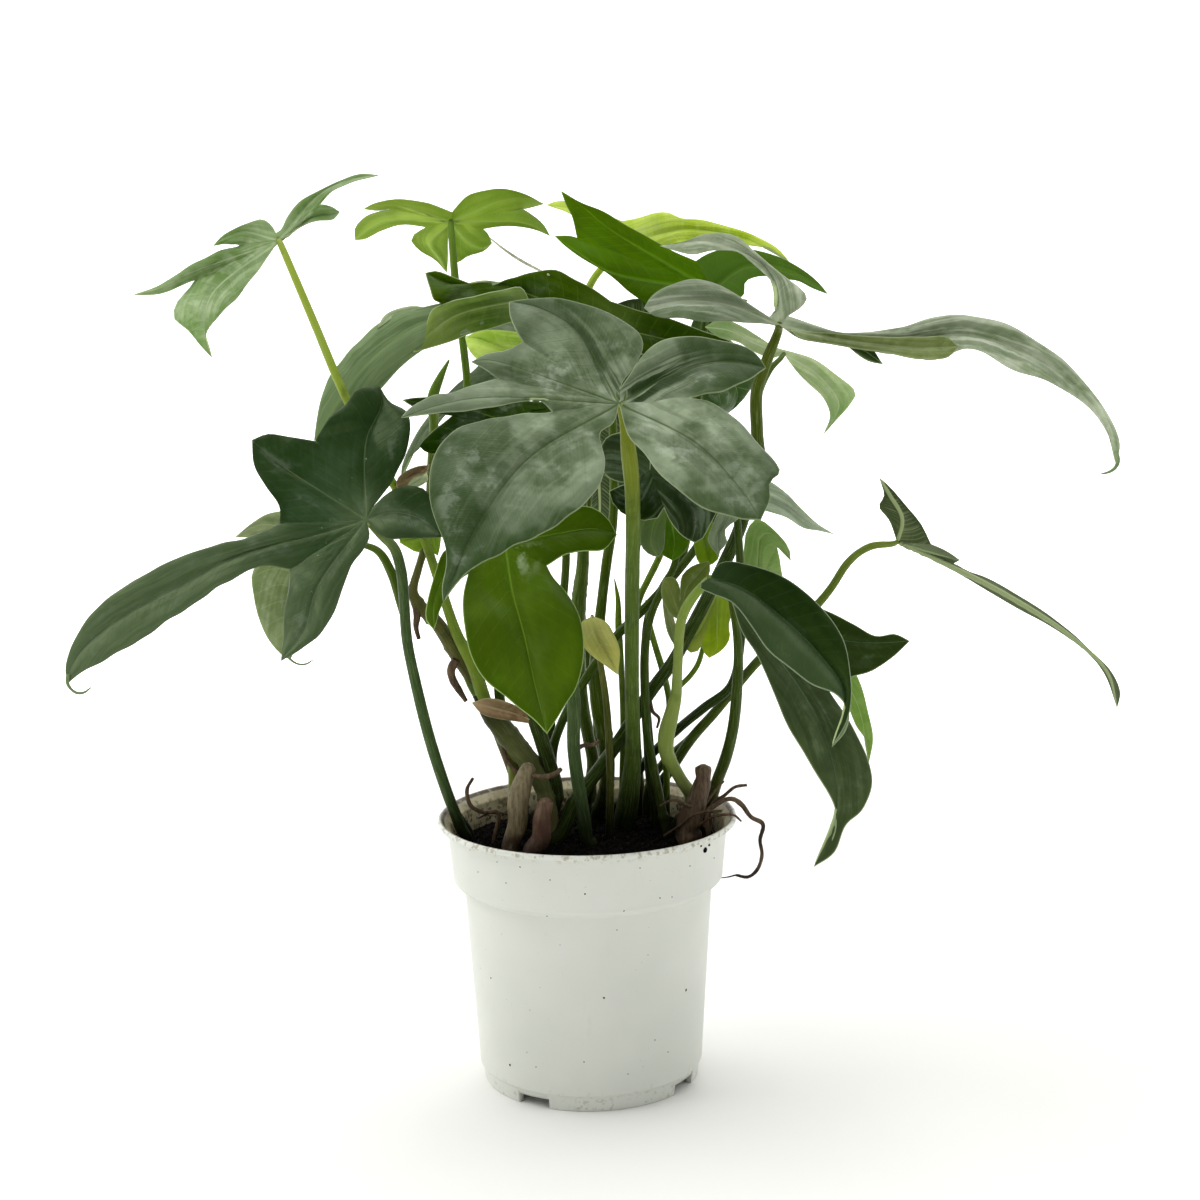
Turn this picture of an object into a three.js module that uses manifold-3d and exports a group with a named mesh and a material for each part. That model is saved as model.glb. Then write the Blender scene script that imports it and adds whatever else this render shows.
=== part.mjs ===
import * as THREE from "three";
import { mergeVertices } from "three/addons/utils/BufferGeometryUtils.js";
import Module from "manifold-3d";

const wasm = await Module();
wasm.setup();

// The plant is laid out as seen from in front. A landmark is [across, down, depth]: across and down are read on the
// view's own 1200-unit square, and depth is how far in mm the point lies behind the pot's axis.
const view = {
  eye: new THREE.Vector3(0, -855, 346.4),
  middle: 600,
  unitsPerRadian: 2192,
  pitch: 0.1742,
  turn: 0.0077,
  roll: -0.0163,
};
const mmPerUnit = 0.39;

// The pot's axis stands a little off the middle of the whole plant's extent.
const plantMiddle = { x: 14.15, y: 11.9 };

const bladeThick = 0.8;
const soilTop = 97;
const footBottom = 93.4;
const holeFloor = 93;
const potSegments = 40;

const finish = (color, roughness) => new THREE.MeshStandardMaterial({ color, roughness, metalness: 0 });
const finishes = {
  pot: finish("#d9dccf", 0.45),
  soil: finish("#1b130c", 0.95),
  stem: finish("#5d7436", 0.5),
  dry: finish("#a38a6b", 0.8),
  root: finish("#4a3228", 0.8),
  dark: finish("#33492f", 0.4),
  grey: finish("#667a66", 0.45),
  deep: finish("#446a10", 0.35),
  lime: finish("#9ab63c", 0.45),
  pale: finish("#97ac78", 0.55),
};

// Leaf blades. Lobes run in order round the join: "to" and "back" are the edges up to the tip and away from it,
// "gap" is the bay before the next lobe, a third number on a tip is how far it bends back, and "fold" tilts the
// two halves.
const leaves = [
  {id: "01", join: [279, 241, 20], lean: [0.1, 0.8], tone: "pale", lobes: [
    {to: [[275, 246], [258, 272], [230, 305], [207, 332], [206, 345]], tip: [212, 358, -14],
     back: [[200, 345], [188, 330], [174, 318], [174, 306], [183, 295]], gap: [195, 280], fold: -0.2},
    {to: [[180, 286], [160, 294]], tip: [133, 295, -10], back: [[160, 285], [190, 266], [215, 253]],
     gap: [240, 245], fold: -0.2},
    {to: [[228, 244]], tip: [213, 246, -6], back: [[222, 236], [245, 224], [262, 219], [271, 225]],
     gap: [276, 233], fold: -0.3},
    {to: [[281, 230], [287, 217], [300, 201], [320, 190], [341, 180], [360, 174]], tip: [379, 175, 8],
     back: [[345, 185], [330, 195]], gap: [320, 204], fold: -0.2},
    {to: [[331, 206]], tip: [340, 212, 6], back: [[334, 219], [318, 221], [300, 227]], fold: -0.2}]},
  {id: "02", join: [451, 221, 52], lean: [0.0, -0.9], tone: "lime", lobes: [
    {to: [[448, 240], [448, 258]], tip: [447, 273, 8], back: [[436, 261], [420, 250], [411, 238]],
     gap: [426, 227], fold: 0.2},
    {to: [[400, 225], [380, 232], [365, 239]], tip: [355, 240, 12], back: [[355, 228], [365, 217], [380, 210]],
     gap: [392, 209], fold: 0.2},
    {to: [[380, 211]], tip: [363, 209, 8], back: [[375, 203], [400, 199], [425, 203], [440, 208]],
     gap: [452, 212], fold: 0.2},
    {to: [[458, 204], [466, 197], [482, 191], [505, 189], [525, 194]], tip: [544, 204, 14],
     back: [[533, 207]], gap: [521, 209], fold: 0.2},
    {to: [[531, 214], [543, 224]], tip: [550, 236, 10], back: [[535, 230], [510, 226]],
     gap: [483, 229], fold: 0.2},
    {to: [[488, 234]], tip: [492, 243, 6], back: [[484, 251], [466, 257], [455, 262], [454, 242]], fold: 0.2}]},
  {id: "03", join: [605, 326, 16], lean: [0.0, 0.4], tone: "dark", lobes: [
    {to: [[585, 340], [540, 332], [507, 323], [465, 334], [440, 341], [420, 352], [400, 368], [380, 390], [345, 425]],
     tip: [314, 441, 0], rib: [[550, 306], [470, 314], [420, 325], [370, 360], [335, 405]],
     back: [[317, 418], [322, 395], [332, 373], [347, 355], [362, 338], [381, 322], [397, 313], [415, 309]],
     gap: [440, 303], fold: 0.3},
    {to: [[434, 300], [429, 287]], tip: [425, 273, 4], back: [[436, 271], [456, 278], [485, 287],
     [510, 279], [535, 272], [556, 270], [574, 279], [592, 288]], gap: [611, 301], fold: -0.2},
    {to: [[640, 311], [665, 317], [700, 330], [730, 341]], tip: [764, 363, 6],
     back: [[730, 372], [680, 366], [635, 350]], fold: -0.2}]},
  {id: "04", join: [619, 404, -62], lean: [0.05, 0.75], tone: "grey", lobes: [
    {to: [[613, 424], [600, 432], [602, 446], [605, 465], [598, 488], [575, 512], [540, 535], [505, 552],
     [475, 567], [457, 584]], tip: [443, 603, -12], back: [[442, 588], [446, 566], [445, 548], [436, 520],
     [429, 492], [432, 462], [444, 440], [465, 425], [500, 418]], gap: [552, 411], fold: -0.25},
    {to: [[540, 401], [520, 402], [495, 407], [460, 411], [425, 415]], tip: [401, 418, -8],
     back: [[410, 408], [432, 397], [460, 390], [482, 383]], gap: [498, 379], fold: -0.2},
    {to: [[485, 370]], tip: [471, 362, -4], back: [[487, 354], [510, 350]], gap: [523, 342], fold: -0.2},
    {to: [[516, 331], [510, 316]], tip: [509, 302, 4], back: [[530, 299], [565, 300], [600, 309], [625, 322],
     [640, 334], [643, 347], [634, 368], [624, 380]], gap: [620, 389], fold: -0.25},
    {to: [[627, 379], [639, 361], [652, 346], [672, 338], [705, 338], [738, 344], [756, 354]],
     tip: [766, 368, 6], back: [[750, 379], [722, 391]], gap: [690, 398], fold: -0.25},
    {to: [[712, 403], [738, 420], [757, 442], [776, 463], [780, 473], [770, 483], [770, 498]],
     tip: [761, 520, -10], back: [[740, 519], [710, 511], [683, 494], [662, 476], [645, 455], [630, 440]],
     fold: -0.2}]},
  {id: "05", join: [779, 325, -22], lean: [0.05, 0.8], tone: "grey", lobes: [
    {to: [[765, 324], [720, 321], [680, 319], [655, 316]], tip: [644, 308, -4],
     back: [[652, 296], [668, 286], [690, 280], [712, 282], [735, 294], [752, 306]], gap: [769, 317],
     fold: -0.3},
    {to: [[780, 306], [781, 296], [771, 281], [750, 262], [738, 252], [715, 250], [690, 254]],
     tip: [660, 246, 10], back: [[680, 243], [700, 236], [717, 233], [737, 237], [757, 254], [780, 273],
     [800, 288], [807, 298], [801, 308]], gap: [788, 316], fold: -0.3},
    {to: [[815, 325], [843, 333], [875, 331], [905, 326], [935, 317], [965, 315], [1000, 322], [1032, 338],
     [1062, 359], [1085, 383], [1104, 408], [1116, 430], [1120, 446]], tip: [1116, 464, -20],
     back: [[1113, 448], [1107, 432], [1093, 412], [1070, 393], [1035, 377], [1000, 362], [966, 348],
     [948, 355], [928, 359], [900, 355], [865, 350], [830, 344], [800, 338]],
     rib: [[840, 338], [900, 342], [960, 334], [1020, 350], [1070, 382], [1104, 422]], fold: -0.5}]},
  {id: "06", join: [712, 288, 34], lean: [0.0, -0.7], tone: "deep", lobes: [
    {to: [[690, 300], [648, 304], [635, 296], [610, 275], [580, 257], [564, 245]], tip: [555, 236, 6],
     back: [[567, 236]], gap: [577, 238], fold: 0.2},
    {to: [[573, 218], [566, 204]], tip: [561, 191, 12], back: [[582, 203], [605, 212], [628, 226],
     [650, 239], [672, 250]], gap: [696, 262], fold: 0.2},
    {to: [[715, 251], [745, 248], [775, 256], [800, 268], [818, 282]], tip: [828, 294, 12],
     back: [[812, 288], [798, 281], [784, 279], [768, 276], [754, 278], [745, 282], [743, 297]],
     fold: 0.2}]},
  {id: "07", join: [640, 240, 84], lean: [0.0, 0.6], tone: "lime", lobes: [
    {to: [[615, 236], [590, 228], [568, 213]], tip: [546, 205, 4], back: [[558, 201], [575, 203], [600, 212]],
     gap: [622, 221], fold: -0.1},
    {to: [[640, 217], [657, 213], [670, 213], [680, 218], [704, 220], [730, 227], [757, 237], [777, 248]],
     tip: [789, 261, -6], back: [[775, 249], [752, 246], [728, 242], [702, 240], [688, 241], [683, 247],
     [664, 248]], fold: -0.1}]},
  {id: "08", join: [784, 354, 8], lean: [0.0, -0.3], tone: "pale", lobes: [
    {to: [[772, 358], [755, 352], [738, 342], [720, 338]], tip: [705, 327, 2],
     back: [[720, 319], [738, 324], [758, 336], [775, 347]], gap: [785, 350], fold: 0.2},
    {to: [[797, 353], [814, 359], [834, 373], [856, 393], [850, 404], [838, 418]], tip: [823, 435, -8],
     back: [[830, 416], [824, 399], [808, 383], [794, 368]], fold: 0.2}]},
  {id: "09", join: [366, 520, -40], lean: [-0.15, 0.4], tone: "dark", lobes: [
    {to: [[370, 536], [362, 551], [350, 570], [338, 600], [326, 628], [300, 650]], tip: [281, 661, -10],
     back: [[283, 640], [285, 610], [289, 588]], gap: [290, 569], fold: -0.2},
    {to: [[262, 566], [225, 584], [205, 597], [170, 620], [140, 640], [105, 660], [82, 672]],
     tip: [67, 684, -14], back: [[65.5, 668], [70, 650], [80, 630], [95, 610], [118, 591], [146, 574], [180, 557], [220, 544], [252, 536]], gap: [280, 524],
     rib: [[325, 533], [280, 543], [230, 558], [180, 585], [125, 615], [88, 644], [72, 666]], fold: -0.3},
    {to: [[279, 506], [266, 487], [254, 465]], tip: [252, 440, -2], back: [[268, 434], [290, 437]],
     gap: [315, 441], fold: -0.2},
    {to: [[330, 417], [346, 405], [353, 393], [364, 387]], tip: [380, 387, 4],
     back: [[390, 402], [406, 411], [411, 428], [405, 455], [394, 477], [382, 495]], gap: [372, 508],
     fold: -0.2},
    {to: [[384, 496], [396, 488], [412, 486], [427, 491], [435, 512]], tip: [442, 537, -8],
     back: [[425, 538], [405, 538], [385, 538]], fold: -0.2}]},
  {id: "10", join: [352, 540, 2], lean: [-0.1, 0.3], tone: "pale", lobes: [
    {to: [[345, 562], [330, 592], [315, 622], [300, 643]], tip: [290, 660, -4],
     back: [[283, 656], [270, 642], [261, 624], [254, 598], [252, 572]], gap: [266, 552], fold: -0.15},
    {to: [[262, 540]], tip: [235, 537, -4], back: [[252, 523], [270, 513], [300, 512], [335, 525]],
     fold: -0.15}]},
  {id: "11", join: [505, 545, -38], lean: [0.1, 0.55], tone: "deep", lobes: [
    {to: [[530, 520], [560, 508], [590, 507], [607, 518]], tip: [617, 535, 0],
     back: [[603, 550], [580, 552], [562, 557]], gap: [547, 565], fold: -0.2},
    {to: [[553, 577], [568, 594], [580, 618], [584, 645], [577, 686], [562, 711]], tip: [547, 734, -10],
     back: [[533, 719], [510, 701], [487, 681], [471, 655], [464, 625], [463, 597]], gap: [468, 574],
     rib: [[512, 590], [524, 635], [535, 685]], fold: -0.25},
    {to: [[455, 584], [443, 602]], tip: [434, 630, -10], back: [[426, 620], [428, 598], [436, 570],
     [445, 550], [475, 540]], fold: -0.2}]},
  {id: "12", join: [710, 578, -58], lean: [-0.1, 0.7], tone: "dark", lobes: [
    {to: [[699, 586], [712, 594], [732, 603], [752, 628], [775, 657], [808, 680], [838, 697], [849, 712],
     [846, 730]], tip: [832, 747, -10], back: [[844, 728], [851, 705], [851, 675], [842, 637], [818, 604],
     [780, 575], [745, 564], [720, 563]], rib: [[745, 590], [785, 620], [820, 655], [845, 695]],
     fold: -0.3}]},
  {id: "13", join: [728, 592, -34], lean: [-0.05, 0.45], tone: "dark", lobes: [
    {to: [[733, 606], [742, 632], [757, 656], [775, 697], [792, 733], [820, 780], [836, 813], [834, 837]],
     tip: [814, 867, -10], back: [[834, 853], [846, 825], [862, 810], [872, 785], [868, 760], [854, 730]],
     gap: [829, 690], fold: -0.2},
    {to: [[850, 678], [872, 671], [893, 657]], tip: [910, 641, -8], back: [[895, 634], [876, 636],
     [855, 625], [830, 612], [790, 597], [755, 587]], fold: -0.2}]},
  {id: "14", join: [897, 542, 12], lean: [0.0, -0.5], tone: "pale", lobes: [
    {to: [[889, 520], [879, 506], [884, 496]], tip: [879, 477, 10], back: [[892, 489], [907, 507],
     [922, 525]], gap: [931, 544], fold: 0.2},
    {to: [[945, 550]], tip: [960, 560, 4], back: [[952, 564]], gap: [943, 561], fold: 0.2},
    {to: [[975, 574], [1010, 590], [1048, 615], [1085, 645], [1110, 670], [1120, 692]],
     tip: [1117, 708, -16], back: [[1105, 675], [1085, 650], [1050, 626], [1010, 604], [970, 580],
     [930, 558]], rib: [[950, 566], [1010, 597], [1070, 636], [1107, 672]], fold: 0.5}]},
  {id: "15", join: [650, 470, -28], lean: [0.0, 0.15], tone: "dark", lobes: [
    {to: [[649, 437], [640, 434], [622, 432], [606, 438]], tip: [598, 458, 2], back: [[606, 475], [618, 482]],
     gap: [632, 483], fold: -0.1},
    {to: [[622, 485]], tip: [609, 491, -3], back: [[614, 505], [627, 516], [642, 520], [657, 519]],
     gap: [664, 508], fold: -0.2},
    {to: [[671, 523], [682, 536]], tip: [695, 543, -6], back: [[704, 537], [710, 524], [717, 510],
     [713, 488], [701, 466], [686, 448], [668, 434], [655, 431]], fold: -0.2}]},
  {id: "16", join: [735, 485, -36], lean: [0.0, 0.2], tone: "grey", lobes: [
    {to: [[727, 500], [718, 512], [711, 528], [708, 541]], tip: [719, 557, 20], back: [[721, 549],
     [727, 544], [725, 530], [740, 518]], gap: [756, 508], fold: -0.1},
    {to: [[785, 517], [803, 528], [820, 531]], tip: [836, 535, -4], back: [[818, 524], [803, 510],
     [785, 492], [765, 480]], fold: -0.2}]},
  {id: "17", join: [668, 500, -14], lean: [0.0, 0.2], tone: "deep", lobes: [
    {to: [[642, 512], [638, 528], [641, 546], [650, 555]], tip: [659, 557, -6], back: [[664, 548]],
     gap: [665, 530], fold: -0.2},
    {to: [[660, 540], [661, 553]], tip: [673, 561, -2], back: [[681, 556], [688, 547]], gap: [692, 532],
     fold: -0.2},
    {to: [[695, 552], [698, 562]], tip: [708, 566, 2], back: [[717, 561], [720, 550], [714, 525],
     [700, 508]], fold: -0.2}]},
  {id: "18", join: [718, 592, 10], lean: [0.1, 0.1], tone: "lime", lobes: [
    {to: [[706, 602], [695, 620], [687, 636]], tip: [685, 648, 2], back: [[691, 653], [698, 651]],
     gap: [702, 645], fold: -0.2},
    {to: [[703, 651]], tip: [709, 658, -4], back: [[717, 654], [725, 647], [730, 637], [729, 625],
     [732, 612], [731, 601]], fold: -0.3}]},
  {id: "19", join: [592, 616, -14], lean: [0.1, 0.2], tone: "lime", lobes: [
    {to: [[606, 622], [614, 635], [620, 650]], tip: [618, 675, -4], back: [[603, 664], [589, 652],
     [581, 638], [580, 624]], fold: -0.4}]},
  {id: "20", join: [560, 352, -20], lean: [0.0, 0.2], tone: "lime", lobes: [
    {to: [[545, 368], [520, 375]], tip: [498, 367, 0], back: [[492, 363]], gap: [490, 361],
     fold: -0.2},
    {to: [[478, 359], [469, 350]], tip: [465, 337, 2], back: [[480, 331], [500, 330], [520, 333],
     [545, 340]], fold: -0.2}]},
  {id: "21", join: [530, 428, -32], lean: [0.0, 0.25], tone: "deep", lobes: [
    {to: [[505, 450], [475, 460], [450, 457]], tip: [431, 454, -4], back: [[419, 447], [430, 434],
     [442, 424]], gap: [452, 416], fold: -0.2},
    {to: [[430, 412], [415, 408]], tip: [402, 400, 0], back: [[412, 398], [430, 397], [460, 396]],
     gap: [486, 400], fold: -0.2},
    {to: [[505, 400]], tip: [553, 403, -2], back: [[560, 416], [548, 424]], fold: -0.1}]},
  {id: "22", join: [690, 350, 60], lean: [0.15, -0.6], tone: "deep", lobes: [
    {to: [[680, 380], [668, 420], [672, 460]], tip: [690, 498, 20], back: [[706, 470], [714, 440]],
     gap: [716, 408], fold: 0.2},
    {to: [[721, 409]], tip: [728, 413, 10], back: [[740, 403], [750, 390], [755, 376], [742, 350]],
     gap: [722, 335], fold: 0.2},
    {to: [[726, 322], [738, 312]], tip: [748, 300, 20], back: [[725, 296], [700, 308], [690, 330]],
     fold: 0.2}]},
  {id: "23", join: [540, 330, 66], lean: [0.3, 0.35], tone: "grey", lobes: [
    {to: [[545, 362], [510, 392], [470, 402], [447, 414], [434, 430], [420, 448], [408, 459]],
     tip: [401, 479, -10], back: [[402, 466], [411, 444], [424, 422], [445, 396], [478, 366]],
     gap: [502, 342], fold: 0.1},
    {to: [[480, 328], [462, 316]], tip: [452, 303, 34], back: [[478, 292], [508, 300]], gap: [524, 314],
     fold: 0.2},
    {to: [[532, 302]], tip: [556, 290, 40], back: [[574, 306], [564, 326]], fold: 0.2}]},
  {id: "24", join: [600, 380, 84], lean: [0.1, -0.8], tone: "dark", lobes: [
    {to: [[620, 410], [632, 460], [622, 500]], tip: [598, 545, 24], back: [[575, 505], [565, 455]],
     gap: [572, 410], fold: 0.2},
    {to: [[578, 402], [560, 388]], tip: [547, 358, 12], back: [[560, 338], [578, 334]],
     gap: [596, 345], fold: 0.2},
    {to: [[600, 320], [625, 300]], tip: [655, 300, 14], back: [[668, 330], [655, 365], [630, 385]],
     fold: 0.2}]},
  {id: "25", join: [756, 590, 8], lean: [0.1, 0.1], tone: "lime", lobes: [
    {to: [[744, 570], [744, 548], [747, 530], [757, 518], [768, 525], [780, 536], [789, 548]],
     tip: [791, 561, -2], back: [[786, 556], [781, 551]], gap: [777, 547],
     rib: [[758, 560], [761, 536], [772, 533], [784, 545]], fold: 0.1},
    {to: [[779, 555], [780, 566]], tip: [783, 580, 2], back: [[780, 588]], gap: [774, 592], fold: 0.1},
    {to: [[788, 596], [820, 628], [848, 660], [861, 685], [868, 712], [873, 738]], tip: [869, 762, -2],
     back: [[867, 742], [856, 726], [846, 700], [836, 680], [806, 648], [776, 618]], fold: -0.1}]},
  {id: "26", join: [681, 620, -30], lean: [0.1, -0.25], tone: "lime", lobes: [
    {to: [[674, 617], [664, 604], [661, 590]], tip: [664, 578, 2], back: [[673, 577], [679, 585]],
     gap: [680, 600], fold: 0.2},
    {to: [[680, 590], [682, 576], [692, 566]], tip: [709, 561, 4], back: [[710, 571], [704, 583],
     [694, 594], [686, 608]], fold: 0.2}]}
];

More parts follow.
